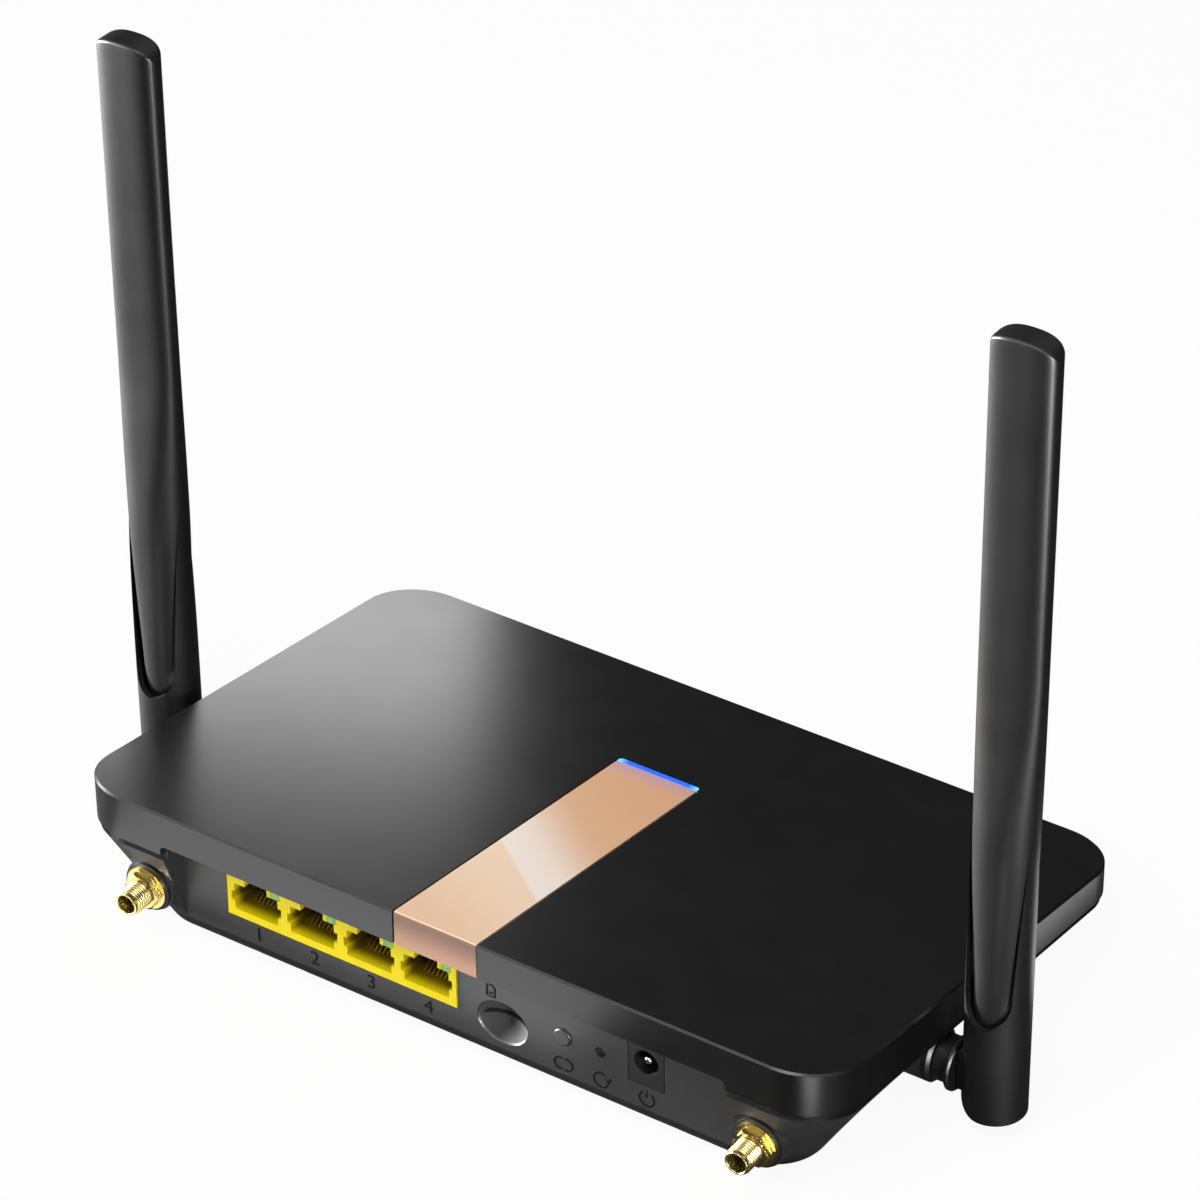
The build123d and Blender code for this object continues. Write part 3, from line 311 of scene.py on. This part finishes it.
class RouterSizes(PropertyGroup):
    full_width: FloatProperty(name="Blade width", description="Across the antenna blade's upper part",
                              default=0.0156, unit="LENGTH")
    full_depth: FloatProperty(name="Blade depth", description="Through the antenna blade's upper part",
                              default=0.0068, unit="LENGTH")
    waist_width: FloatProperty(name="Waist width", description="Across the blade where it leaves its sleeve",
                               default=0.0147, unit="LENGTH")
    waist_depth: FloatProperty(name="Waist depth", description="Through the blade where it leaves its sleeve",
                               default=0.0122, unit="LENGTH")
    foot_radius: FloatProperty(name="Foot radius", description="Blade's round foot inside the sleeve",
                               default=0.0056, unit="LENGTH")
    shoulder: FloatProperty(name="Shoulder", description="Drop of the blade's arched top at its sides",
                            default=0.0034, unit="LENGTH")
    thread_pitch: FloatProperty(name="Thread pitch", description="Along the aerial socket, from crest to crest",
                                default=0.0007056, unit="LENGTH")
    thread_depth: FloatProperty(name="Thread depth", description="From crest to root of the aerial socket's thread",
                                default=0.00032, unit="LENGTH")
    digit_height: FloatProperty(name="Digit size", description="Type size of the port numbers", default=0.0052,
                                unit="LENGTH")
    stroke: FloatProperty(name="Icon stroke", description="Line width of the icons", default=0.00056,
                          unit="LENGTH")


class RouterStage(PropertyGroup):
    camera: FloatVectorProperty(name="Camera", description="Where the camera stands", subtype="TRANSLATION",
                                unit="LENGTH", default=(-0.54247, 0.79250, 0.74550))
    azimuth: FloatProperty(name="Azimuth", description="Camera's turn about the vertical", subtype="ANGLE",
                           default=math.radians(214.2557))
    elevation: FloatProperty(name="Elevation", description="Camera's tilt below the horizon", subtype="ANGLE",
                             default=math.radians(34.3358))
    roll: FloatProperty(name="Roll", description="Camera's turn about its own axis", subtype="ANGLE",
                        default=math.radians(-0.6191))
    lens: FloatProperty(name="Lens", description="Focal length in millimetres", unit="CAMERA", default=160.50)
    floor: FloatProperty(name="Floor size", description="Across the pale floor", unit="LENGTH", default=60.0)


def colors():
    """The scene's colour settings."""
    return bpy.context.scene.router_colors


def sizes():
    """The scene's size settings."""
    return bpy.context.scene.router_sizes


def stage_settings():
    """The scene's settings of camera and floor."""
    return bpy.context.scene.router_stage


def dress(nodes, finish):
    """Gives CAD nodes one material."""
    for name in nodes:
        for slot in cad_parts[name].material_slots:
            slot.material = finish.material


def sided(*names):
    """Each name with both sides added."""
    return [f"{name}_{side}" for name in names for side in SIDES]


# ---- operators ---------------------------------------------------------------------------------------------------
class ROUTER_OT_case(Operator):
    """Finishes of the cover and the bottom shell"""
    bl_idname = "router.case"
    bl_label = "Case"

    def execute(self, context):
        dress(["top_cover"], moulded("cover_black", tuple(colors().cover), 0.31, 0.00042, 0.000007))
        shell = tuple(colors().shell)
        panel = Finish("shell_black", Specular_IOR_Level=0.5)
        grain = panel.noise(0.0005, 3.0, 0.6)
        cloud = panel.noise(0.015, 3.0)
        x, y, z = panel.axes()
        above_chine = z.step(0.0052, 0.0062)
        reach = ((x - DISH_X) ** 2 + ((z - DISH_Z) * DISH_SQUASH) ** 2) ** 0.5
        within = 1.0 - reach.step(DISH_RADIUS, DISH_RADIUS + 0.0005)
        sunk = 1.0 - y.step(PANEL_Y - 0.0006, PANEL_Y - 0.0002)
        # Inside the dish the colour darkens towards near black, painted shade in the bowl, and the gloss grows
        # rougher.
        dish = within * sunk
        base = panel.blend(cloud.step(0.3, 0.7), shell, tuple(1.2 * c for c in shell))
        # Below the chine the shell's colour is 0.35 times as light: painted shade on the underside.
        base = panel.blend(above_chine, tuple(0.35 * c for c in shell), base)
        panel.set(Base_Color=panel.blend(dish * 0.7, base, (0.004, 0.004, 0.004)),
                  Roughness=grain * 0.10 + cloud * 0.05 + dish * 0.50 + 0.31)
        panel.bump(grain, 0.00002)
        dress(["bottom_shell", "wps_button"], panel)
        rubber = moulded("rubber_black", (0.005, 0.005, 0.005), 0.55, 0.0006, 0.00001, 0.25)
        dress(["rubber_feet"] + sided("sma_gasket"), rubber)
        return {"FINISHED"}


class ROUTER_OT_strip(Operator):
    """Rose-gold strip and the light bar at its front end"""
    bl_idname = "router.strip"
    bl_label = "Accent strip"

    def execute(self, context):
        low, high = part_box("accent_strip")
        self.gild(low, high)
        self.glow(low, high)
        return {"FINISHED"}

    def gild(self, low, high):
        """Satin rose gold whose colour holds a painted slanting reflection.

        along runs from 0 at the rear to 1 at the front, less a slant across the width. The colour is a painted
        reflection: it goes from rose to a lighter tone, to a sharp pale edge of painted highlight that fades into a
        deeper tone, and to a copper tone at the front, with a violet tinge beside the light bar that is painted glow
        of the bar. The turned-down rear end has its own two browns, painted shade that is lighter at its bottom.
        """
        strip = Finish("rose_gold_painted_sheen", Metallic=0.06, Specular_IOR_Level=0.5)
        x, y, z = strip.axes()
        brushed = strip.noise(0.0003, 4.0, 0.6)
        cloud = strip.noise(0.02, 2.0)
        along = (y * -1.0 + high[1]) / (high[1] - low[1]) - (x - low[0]) * PAINTED_SHEEN_SLANT
        rose = tuple(colors().strip)
        deep = tuple(k * c for k, c in zip((0.95, 0.86, 0.76), rose))
        light = tuple(k * c for k, c in zip((1.12, 1.30, 1.48), rose))
        # From here the strip's colour is a painted reflection: rose, a lighter tone, a deeper tone and a copper
        # front.
        base = strip.blend(along.step(-0.15, 0.27), rose, light)
        base = strip.blend(along.step(0.27, 0.5), base, deep)
        base = strip.blend(along.step(0.60, 0.95) * 0.55, base, (0.84, 0.43, 0.23))
        # A sharp pale edge of painted highlight that fades towards the front.
        pale = along.step(0.262, 0.275) * (1.0 - along.step(0.32, 0.60))
        base = strip.blend(pale * 0.85 + cloud * 0.06, base, tuple(colors().sheen))
        # A violet tinge at the front end, painted glow of the light bar.
        base = strip.blend((1.0 - y.step(low[1] - 0.001, low[1] + 0.006)) * 0.55, base, (0.50, 0.34, 0.75))
        # The turned-down rear end gets painted shade: dark brown at the top, lighter towards its bottom.
        rear_face_shade = strip.blend(z.step(high[2] - 0.0085, high[2] - 0.001), (0.50, 0.27, 0.16), (0.21, 0.10, 0.06))
        base = strip.blend(y.step(high[1] - 0.0004, high[1] - 0.0001), base, rear_face_shade)
        strip.set(Base_Color=base, Roughness=brushed * 0.10 + 0.36)
        strip.bump(brushed, 0.000004)
        dress(["accent_strip"], strip)

    def glow(self, low, high):
        """Blue light, paler towards both ends of the bar."""
        blue = tuple(colors().light)
        bar = Finish("blue_light", Base_Color=blue, Emission_Strength=1.5, Roughness=0.5, Specular_IOR_Level=0.1)
        middle, half = (low[0] + high[0]) / 2, (high[0] - low[0]) / 2
        across = abs(bar.axes()[0] - middle) / half
        spark = bar.noise(0.0012, 2.0)
        bar.set(Emission_Color=bar.blend((across + spark * 0.1).step(0.80, 1.06), blue, (0.10, 0.62, 1.0)))
        bar.bump(spark, 0.000005)
        dress(["light_bar", "light_guide"], bar)


class ROUTER_OT_ports(Operator):
    """Ethernet block, SIM socket, buttons and power inlet"""
    bl_idname = "router.ports"
    bl_label = "Ports"

    def execute(self, context):
        self.colour_block()
        lamp = Finish("lamp_green", Emission_Strength=0.10)
        milk = lamp.noise(0.0008, 2.0)
        tint = lamp.blend(milk.step(0.3, 0.7), (0.12, 0.36, 0.01), (0.26, 0.52, 0.04))
        lamp.set(Base_Color=tint, Emission_Color=tint, Roughness=milk * 0.1 + 0.12)
        lamp.bump(milk, 0.000004)
        dress(["port_lamps"], lamp)
        dress(["port_contacts"], metal("contact_gold", (0.62, 0.46, 0.14), 0.3, 0.0003))
        dark = moulded("socket_black", (0.004, 0.004, 0.004), 0.42, 0.0006, 0.00001)
        dress(["sim_socket", "dc_jack", "wps_switch", "reset_switch"], dark)
        dress(["reset_plunger"], moulded("plunger_grey", (0.03, 0.03, 0.03), 0.5, 0.0006, 0.00001))
        dress(["dc_jack_pin"], metal("pin_nickel", (0.75, 0.75, 0.72), 0.22, 0.0003))
        return {"FINISHED"}

    def colour_block(self):
        """Yellow that darkens into the sockets, painted shade: brown behind the rim and near black at their backs."""
        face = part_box("port_block")[1][1]
        block = Finish("port_yellow", Specular_IOR_Level=0.15)
        depth = block.axes()[1]
        grain = block.noise(0.0007, 3.0)
        cloud = block.noise(0.006, 2.0)
        # Painted shade in the sockets: brown just behind the rim, near black deeper in.
        base = block.blend(depth.step(face - 0.0040, face - 0.0002), (0.13, 0.088, 0.0), tuple(colors().ports))
        base = block.blend(depth.step(face - 0.0115, face - 0.0065), (0.004, 0.003, 0.0), base)
        base = block.blend(cloud.step(0.35, 0.7) * 0.12, base, (0.70, 0.56, 0.0))
        block.set(Base_Color=base, Roughness=grain * 0.12 + 0.32)
        block.bump(grain, 0.000006)
        dress(["port_block"], block)


class ROUTER_OT_labels(Operator):
    """Dark numbers and icons on the port panel"""
    bl_idname = "router.labels"
    bl_label = "Labels"

    def execute(self, context):
        ink = Finish("label_dark", Specular_IOR_Level=0.05)
        cloud = ink.noise(0.0012, 2.0)
        dark = tuple(colors().labels)
        ink.set(Base_Color=ink.blend(cloud, dark, tuple(2.5 * c for c in dark)), Roughness=cloud * 0.1 + 0.7)
        ink.bump(cloud, 0.000004)
        for number, x in enumerate(PORT_X, 1):
            digit(f"label_port_{number}", str(number), (x, LABEL_Y, LABEL_Z), ink)
        icons = {
            "wps": (-0.0283, [circle(70, 290, 0.8, -0.45), circle(-110, 110, 0.8, 0.45)]),
            "reset": (-0.0381, [circle(60, 360), line((0.55, 0.55), (1.0, 0.0), (1.4, 0.55))]),
            "power": (-0.0499, [circle(125, 415), line((0.0, 1.3), (0.0, 0.2))]),
        }
        for name, (x, paths) in icons.items():
            icon(f"label_{name}", paths, (x, LABEL_Y, LABEL_Z), ICON_UNIT, ink)
        card = line((-0.7, -1), (-0.7, 1), (0.25, 1), (0.7, 0.5), (0.7, -1), (-0.7, -1))
        icon("label_sim", [card, line((-0.3, -0.45), (0.3, -0.45))], (-0.0095, LABEL_Y, 0.0212), 0.0015, ink)
        return {"FINISHED"}


def circle(start, end, radius=1.0, x=0.0):
    """Points of an arc about (x, 0) from the start angle to the end, in degrees: (x + r cos, r sin)."""
    angle = np.radians(np.linspace(start, end, ARC_POINTS))
    return np.stack([x + radius * np.cos(angle), radius * np.sin(angle)], -1)


def line(*points):
    """The points of a path with corners."""
    return np.array(points, float)


def digit(name, text, middle, finish):
    """One figure of plain type that faces +Y and stands upright."""
    curve = bpy.data.curves.new(name, "FONT")
    curve.body = text
    curve.size = sizes().digit_height
    curve.align_x = "CENTER"
    curve.align_y = "CENTER"
    curve.extrude = LABEL_THICKNESS
    loose = bpy.data.objects.new(name + "_type", curve)
    bpy.context.scene.collection.objects.link(loose)
    bpy.context.view_layer.update()
    mesh = bpy.data.meshes.new_from_object(loose.evaluated_get(bpy.context.evaluated_depsgraph_get()))
    bpy.data.objects.remove(loose)
    mesh.transform(Matrix(((-1, 0, 0, middle[0]), (0, 0, 1, middle[1]), (0, 1, 0, middle[2]), (0, 0, 0, 1))))
    mesh.materials.clear()
    mesh.materials.append(finish.material)
    made = bpy.data.objects.new(name, mesh)
    bpy.context.scene.collection.objects.link(made)
    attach(made, "case")


def icon(name, paths, middle, unit, finish):
    """Bands along paths in (right, up): each side lies half a stroke from the path, along its normal."""
    half = sizes().stroke / 2
    points, faces, count = [], [], 0
    for path in paths:
        path = path * unit
        along = np.gradient(path, axis=0)
        along /= np.linalg.norm(along, axis=1, keepdims=True)
        normal = np.stack([-along[:, 1], along[:, 0]], -1)
        plan = np.concatenate([path + half * normal, path - half * normal])
        points.append(np.stack([middle[0] - plan[:, 0], np.full(len(plan), middle[1]), middle[2] + plan[:, 1]], -1))
        k = np.arange(len(path) - 1)
        n = len(path)
        faces.append(count + np.stack([k, k + 1, k + 1 + n, k + n], -1))
        count += 2 * n
    made = mesh_piece(name, np.concatenate(points), faces, finish, "case")
    solid = made.modifiers.new("thickness", "SOLIDIFY")
    solid.thickness = LABEL_THICKNESS
    solid.offset = 0.0


class ROUTER_OT_aerials(Operator):
    """Gold aerial sockets with their threads and hexagon nuts"""
    bl_idname = "router.aerials"
    bl_label = "Aerial sockets"

    def execute(self, context):
        gold = metal("gold_plate", tuple(colors().gold), 0.24, 0.0003)
        dress(sided("sma_washer", "sma_contact"), gold)
        dress(sided("sma_insulator"), moulded("insulator_dark", (0.05, 0.035, 0.015), 0.4, 0.0005, 0.00001))
        threaded = metal("gold_thread", tuple(colors().gold), 0.27, 0.0003)
        groove_shade = threaded.node("ShaderNodeAttribute", {"attribute_name": "groove_shade"})
        plated = threaded.surface.inputs["Base Color"].links[0].from_socket
        # The thread's roots take a dark colour from the groove attribute: painted shade in the thread.
        threaded.set(Base_Color=threaded.blend(Value(threaded.tree, groove_shade.outputs["Fac"]), plated,
                                               (0.07, 0.05, 0.018)))
        for side in SIDES:
            barrel(side, threaded)
            nut(side, gold)
        return {"FINISHED"}


def barrel(side, finish):
    """A turned socket: radius = profile(y) - depth * |2 frac(y / pitch - angle / turn) - 1| where it is threaded.

    A point attribute holds how deep each point lies in the thread, from 0 to 1; it darkens the thread's roots as
    painted shade.
    """
    low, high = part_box(f"sma_barrel_{side}")
    x, z = (low[0] + high[0]) / 2, (low[2] + high[2]) / 2
    back, mouth = low[1], high[1]
    shank, flange, crest, tip, bore = 0.0029, 0.0048, 0.003175, 0.00285, 0.00235
    start, end, edge = mouth - 0.0054, mouth - 0.0010, 0.00012
    pitch, depth = sizes().thread_pitch, sizes().thread_depth
    profile = [(back, shank), (back + 0.006, shank), (back + 0.006, flange), (back + 0.0076, flange),
               (back + 0.0076, crest)]
    profile += [(y, crest) for y in np.linspace(start - 0.002, end, 90)]
    profile += [(end + 0.0001, tip), (mouth - edge, tip), (mouth, tip - 0.00013), (mouth, bore + edge),
                (mouth - edge, bore), (mouth - 0.0055, bore)]

    def ripple(y, angle):
        phase = (y - start) / pitch - angle / (2 * np.pi)
        inside = smooth(y, start - 0.0012, start - 0.0008) * (1 - smooth(y, end - 0.00002, end + 0.00002))
        return -depth * np.abs(2 * (phase - np.floor(phase)) - 1) * inside * (y > back + 0.009)

    points, faces = rings(turned(profile, x, z, 72, ripple))
    made = mesh_piece(f"sma_thread_{side}", points, faces, finish, "case", 40.0)
    angle = np.arctan2(points[:, 2] - z, points[:, 0] - x) % (2 * np.pi)
    # Depth in the thread, which darkens the roots as painted shade.
    mark = made.data.attributes.new("groove_shade", "FLOAT", "POINT")
    mark.data.foreach_set("value", np.clip(-ripple(points[:, 1], angle) / depth * 1.6 - 0.5, 0.0, 1.0))
    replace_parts(made, f"sma_barrel_{side}")


def nut(side, finish):
    """A hexagon whose corners are cut by a cone at both faces: radius = min(flat / cos(angle from a flat), cone)."""
    low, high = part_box(f"sma_nut_{side}")
    x, z = (low[0] + high[0]) / 2, (low[2] + high[2]) / 2
    flat, thick, bore = (high[2] - low[2]) / 2, high[1] - low[1], 0.0032
    angle = np.arange(144) * 2 * np.pi / 144
    hexagon = flat / np.cos(angle % (np.pi / 3) - np.pi / 6)
    across = np.concatenate([[0.0], np.linspace(0, 0.25, 7), np.linspace(0.75, 1, 7), [1.0]]) * thick
    cone = flat + 1.9 * np.minimum(across, thick - across)
    radius = np.minimum(hexagon[None, :], cone[:, None])
    radius[0] = radius[-1] = bore
    ring = np.stack([x + radius * np.cos(angle), low[1] + across[:, None] + 0 * radius,
                     z + radius * np.sin(angle)], -1)
    points, faces = rings(ring)
    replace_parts(mesh_piece(f"sma_hexagon_{side}", points, faces, finish, "case", 25.0), f"sma_nut_{side}")


class ROUTER_OT_antennas(Operator):
    """Folding antennas and their hinges"""
    bl_idname = "router.antennas"
    bl_label = "Antennas"

    def execute(self, context):
        satin = moulded("antenna_black", tuple(colors().antenna), 0.41, 0.0005, 0.000005, 0.45)
        dress(sided("antenna_sleeve", "hinge_base", "hinge_bush", "hinge_clip"), satin)
        dress(sided("hinge_pin"), metal("steel_pin", (0.5, 0.5, 0.5), 0.3, 0.0003))
        dress(sided("antenna_element"), metal("copper_strip", (0.7, 0.4, 0.25), 0.35, 0.0003))
        for side in SIDES:
            blade(side, satin)
        return {"FINISHED"}


def blade(side, finish):
    """The antenna's body, a stack of superellipses |x/a|^n + |y/b|^n = 1.

    Half-axes a and b and the power n run smoothly from a round foot to a waist and on to the flat upper part. A
    quarter circle of radius edge rounds the top's rim, and the top closes by rings that shrink to its middle. The
    top is an arch: it drops by shoulder * (1 - sqrt(1 - |x/a|^2.4)) towards its sides.
    """
    low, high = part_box(f"antenna_blade_{side}")
    x, y = (low[0] + high[0]) / 2, (low[1] + high[1]) / 2 - 0.0004
    top, edge, closing = high[2], 0.0007, 24
    s = sizes()
    heights = np.concatenate([np.linspace(low[2], low[2] + 0.1, 120), np.linspace(low[2] + 0.101, top - edge, 40)])
    turn = np.radians(np.linspace(9, 90, 10))
    plain = len(heights)
    shrink = np.concatenate([np.zeros(plain), edge * (1 - np.cos(turn)), np.full(closing, edge)])[:, None]
    scale = np.concatenate([np.ones(plain + len(turn)), np.linspace(0.96, 0.02, closing)])[:, None]
    z = np.concatenate([heights, top - edge + edge * np.sin(turn), np.full(closing, top)])[:, None]
    to_waist, to_full = smooth(z, 0.028, 0.080), smooth(z, 0.072, 0.122)
    a = s.foot_radius + (s.waist_width / 2 - s.foot_radius) * to_waist + (s.full_width - s.waist_width) / 2 * to_full
    b = s.foot_radius + (s.waist_depth / 2 - s.foot_radius) * to_waist + (s.full_depth - s.waist_depth) / 2 * to_full
    n = 2.0 + 0.1 * to_waist + 0.9 * to_full
    angle = (np.arange(128) + 0.5) * 2 * np.pi / 128
    across = (a - shrink) * scale * power(np.cos(angle), 2 / n)
    through = (b - shrink) * scale * power(np.sin(angle), 2 / n)
    reach = np.clip(np.abs(across) / (s.full_width / 2), 0.0, 1.0)
    arch = s.shoulder * (1 - np.sqrt(1 - reach ** 2.4)) * smooth(z, top - 0.012, top - edge)
    points, faces = rings(np.stack([x + across, y + through, z - arch], -1))
    made = mesh_piece(f"antenna_skin_{side}", points, faces, finish, f"antenna_{side}", 50.0)
    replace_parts(made, f"antenna_blade_{side}")


class ROUTER_OT_inside(Operator):
    """Board, shield cans and fasteners inside the case"""
    bl_idname = "router.inside"
    bl_label = "Inside"

    def execute(self, context):
        dress(["main_board"], moulded("board_green", (0.01, 0.08, 0.04), 0.35, 0.001, 0.00001))
        dress(["shield_cans", "lte_module", "heat_sink", "case_screws"],
              metal("tinned_steel", (0.6, 0.6, 0.58), 0.35, 0.0005))
        dress(["status_leds"], moulded("led_white", (0.8, 0.8, 0.7), 0.4, 0.0005, 0.00001))
        return {"FINISHED"}


class ROUTER_OT_stage(Operator):
    """Pale floor, soft lights and the camera"""
    bl_idname = "router.stage"
    bl_label = "Stage"

    def execute(self, context):
        build_camera()
        build_floor()
        build_world()
        build_lights()
        context.scene.view_settings.view_transform = "Standard"
        return {"FINISHED"}


def build_camera():
    """The camera is turned by azimuth, elevation and roll."""
    settings = stage_settings()
    data = bpy.data.cameras.new("camera")
    data.lens = settings.lens
    data.sensor_width = 36.0
    data.clip_end = 200.0
    camera = bpy.data.objects.new("camera", data)
    bpy.context.scene.collection.objects.link(camera)
    turn = Matrix.Rotation(settings.azimuth, 4, "Z") @ Matrix.Rotation(math.pi / 2 - settings.elevation, 4, "X")
    turn = turn @ Matrix.Rotation(settings.roll, 4, "Z")
    camera.matrix_world = Matrix.Translation(Vector(settings.camera)) @ turn
    bpy.context.scene.camera = camera


def build_floor():
    """A flat sheet under the feet, pale to the light and white to the eye where nothing shades it."""
    half = stage_settings().floor / 2
    mesh = bpy.data.meshes.new("floor")
    corners = [(-half, -half, 0), (half, -half, 0), (half, half, 0), (-half, half, 0)]
    mesh.from_pydata(corners, [], [(0, 1, 2, 3)])
    floor = bpy.data.objects.new("floor", mesh)
    bpy.context.scene.collection.objects.link(floor)
    finish = Finish("floor_white", Base_Color=(0.92, 0.92, 0.92), Roughness=0.9, Specular_IOR_Level=0.1)
    glow = finish.node("ShaderNodeEmission", Color=(1.0, 1.0, 1.0), Strength=1.0)
    path = finish.node("ShaderNodeLightPath")
    seen = Value(finish.tree, path.outputs["Is Camera Ray"]) * FLOOR_WHITE
    mix = finish.node("ShaderNodeMixShader", None, Fac=seen)
    finish.tree.links.new(mix.inputs[1], finish.surface.outputs[0])
    finish.tree.links.new(mix.inputs[2], glow.outputs[0])
    finish.tree.links.new(finish.out.inputs[0], mix.outputs[0])
    mesh.materials.append(finish.material)
    floor.visible_glossy = False


def build_world():
    """White to the eye, through glass and to reflections from overhead, and a softer fill for everything else."""
    world = bpy.data.worlds.new("studio")
    bpy.context.scene.world = world
    world.use_nodes = True
    tree = world.node_tree
    background = tree.nodes["Background"]
    background.inputs["Color"].default_value = (1, 1, 1, 1)
    path = tree.nodes.new("ShaderNodeLightPath")
    place = tree.nodes.new("ShaderNodeTexCoord")
    split = tree.nodes.new("ShaderNodeSeparateXYZ")
    tree.links.new(split.inputs[0], place.outputs["Generated"])
    overhead = Value(tree, split.outputs[2]).step(0.5, 0.9)
    camera = Value(tree, path.outputs["Is Camera Ray"])
    glossy = Value(tree, path.outputs["Is Glossy Ray"])
    glass = Value(tree, path.outputs["Is Transmission Ray"])
    reflected = glossy * (overhead * (1.0 - HORIZON_LIGHT) + HORIZON_LIGHT)
    fill = (1.0 - glossy) * FILL_LIGHT
    strength = camera.math("MAXIMUM", glass).math("MAXIMUM", reflected).math("MAXIMUM", fill)
    tree.links.new(background.inputs["Strength"], strength.socket)


def soft_box(name, middle, target, width, height, watts, panel):
    """Rectangular lamp that faces target and isn't seen by the camera. A panel shows only in reflections."""
    data = bpy.data.lights.new(name, "AREA")
    data.shape = "RECTANGLE"
    data.size = width
    data.size_y = height
    data.energy = watts
    lamp = bpy.data.objects.new(name, data)
    bpy.context.scene.collection.objects.link(lamp)
    lamp.location = middle
    lamp.rotation_euler = (Vector(target) - Vector(middle)).to_track_quat("-Z", "Y").to_euler()
    lamp.visible_camera = False
    lamp.visible_diffuse = not panel


def build_lights():
    """One soft key lamp above the rear, and the panels."""
    soft_box("key", (-0.1, 0.9, 1.3), (0, 0, 0.03), 0.9, 0.9, 14.5, False)
    for settings in PANELS:
        soft_box(*settings, True)


# ---- panel and registration --------------------------------------------------------------------------------------
STEPS = (ROUTER_OT_case, ROUTER_OT_strip, ROUTER_OT_ports, ROUTER_OT_labels, ROUTER_OT_aerials, ROUTER_OT_antennas,
         ROUTER_OT_inside, ROUTER_OT_stage)


class ROUTER_PT_panel(Panel):
    """Sidebar panel that lists the router's operators"""
    bl_idname = "ROUTER_PT_panel"
    bl_label = "Wireless router"
    bl_space_type = "VIEW_3D"
    bl_region_type = "UI"
    bl_category = "Router"

    def draw(self, context):
        for step in STEPS:
            self.layout.operator(step.bl_idname)
        for settings in (colors(), sizes(), stage_settings()):
            for name in settings.bl_rna.properties.keys():
                if name not in ("name", "rna_type"):
                    self.layout.prop(settings, name)


CLASSES = (RouterColors, RouterSizes, RouterStage, *STEPS, ROUTER_PT_panel)


def register():
    """Registers every class and hangs the settings on the scene."""
    for made in CLASSES:
        bpy.utils.register_class(made)
    bpy.types.Scene.router_colors = PointerProperty(type=RouterColors)
    bpy.types.Scene.router_sizes = PointerProperty(type=RouterSizes)
    bpy.types.Scene.router_stage = PointerProperty(type=RouterStage)


def unregister():
    """Undoes register."""
    del bpy.types.Scene.router_stage
    del bpy.types.Scene.router_sizes
    del bpy.types.Scene.router_colors
    for made in reversed(CLASSES):
        bpy.utils.unregister_class(made)


def main():
    """Runs every step."""
    register()
    for step in STEPS:
        group, name = step.bl_idname.split(".")
        getattr(getattr(bpy.ops, group), name)()


if __name__ == "__main__":
    main()
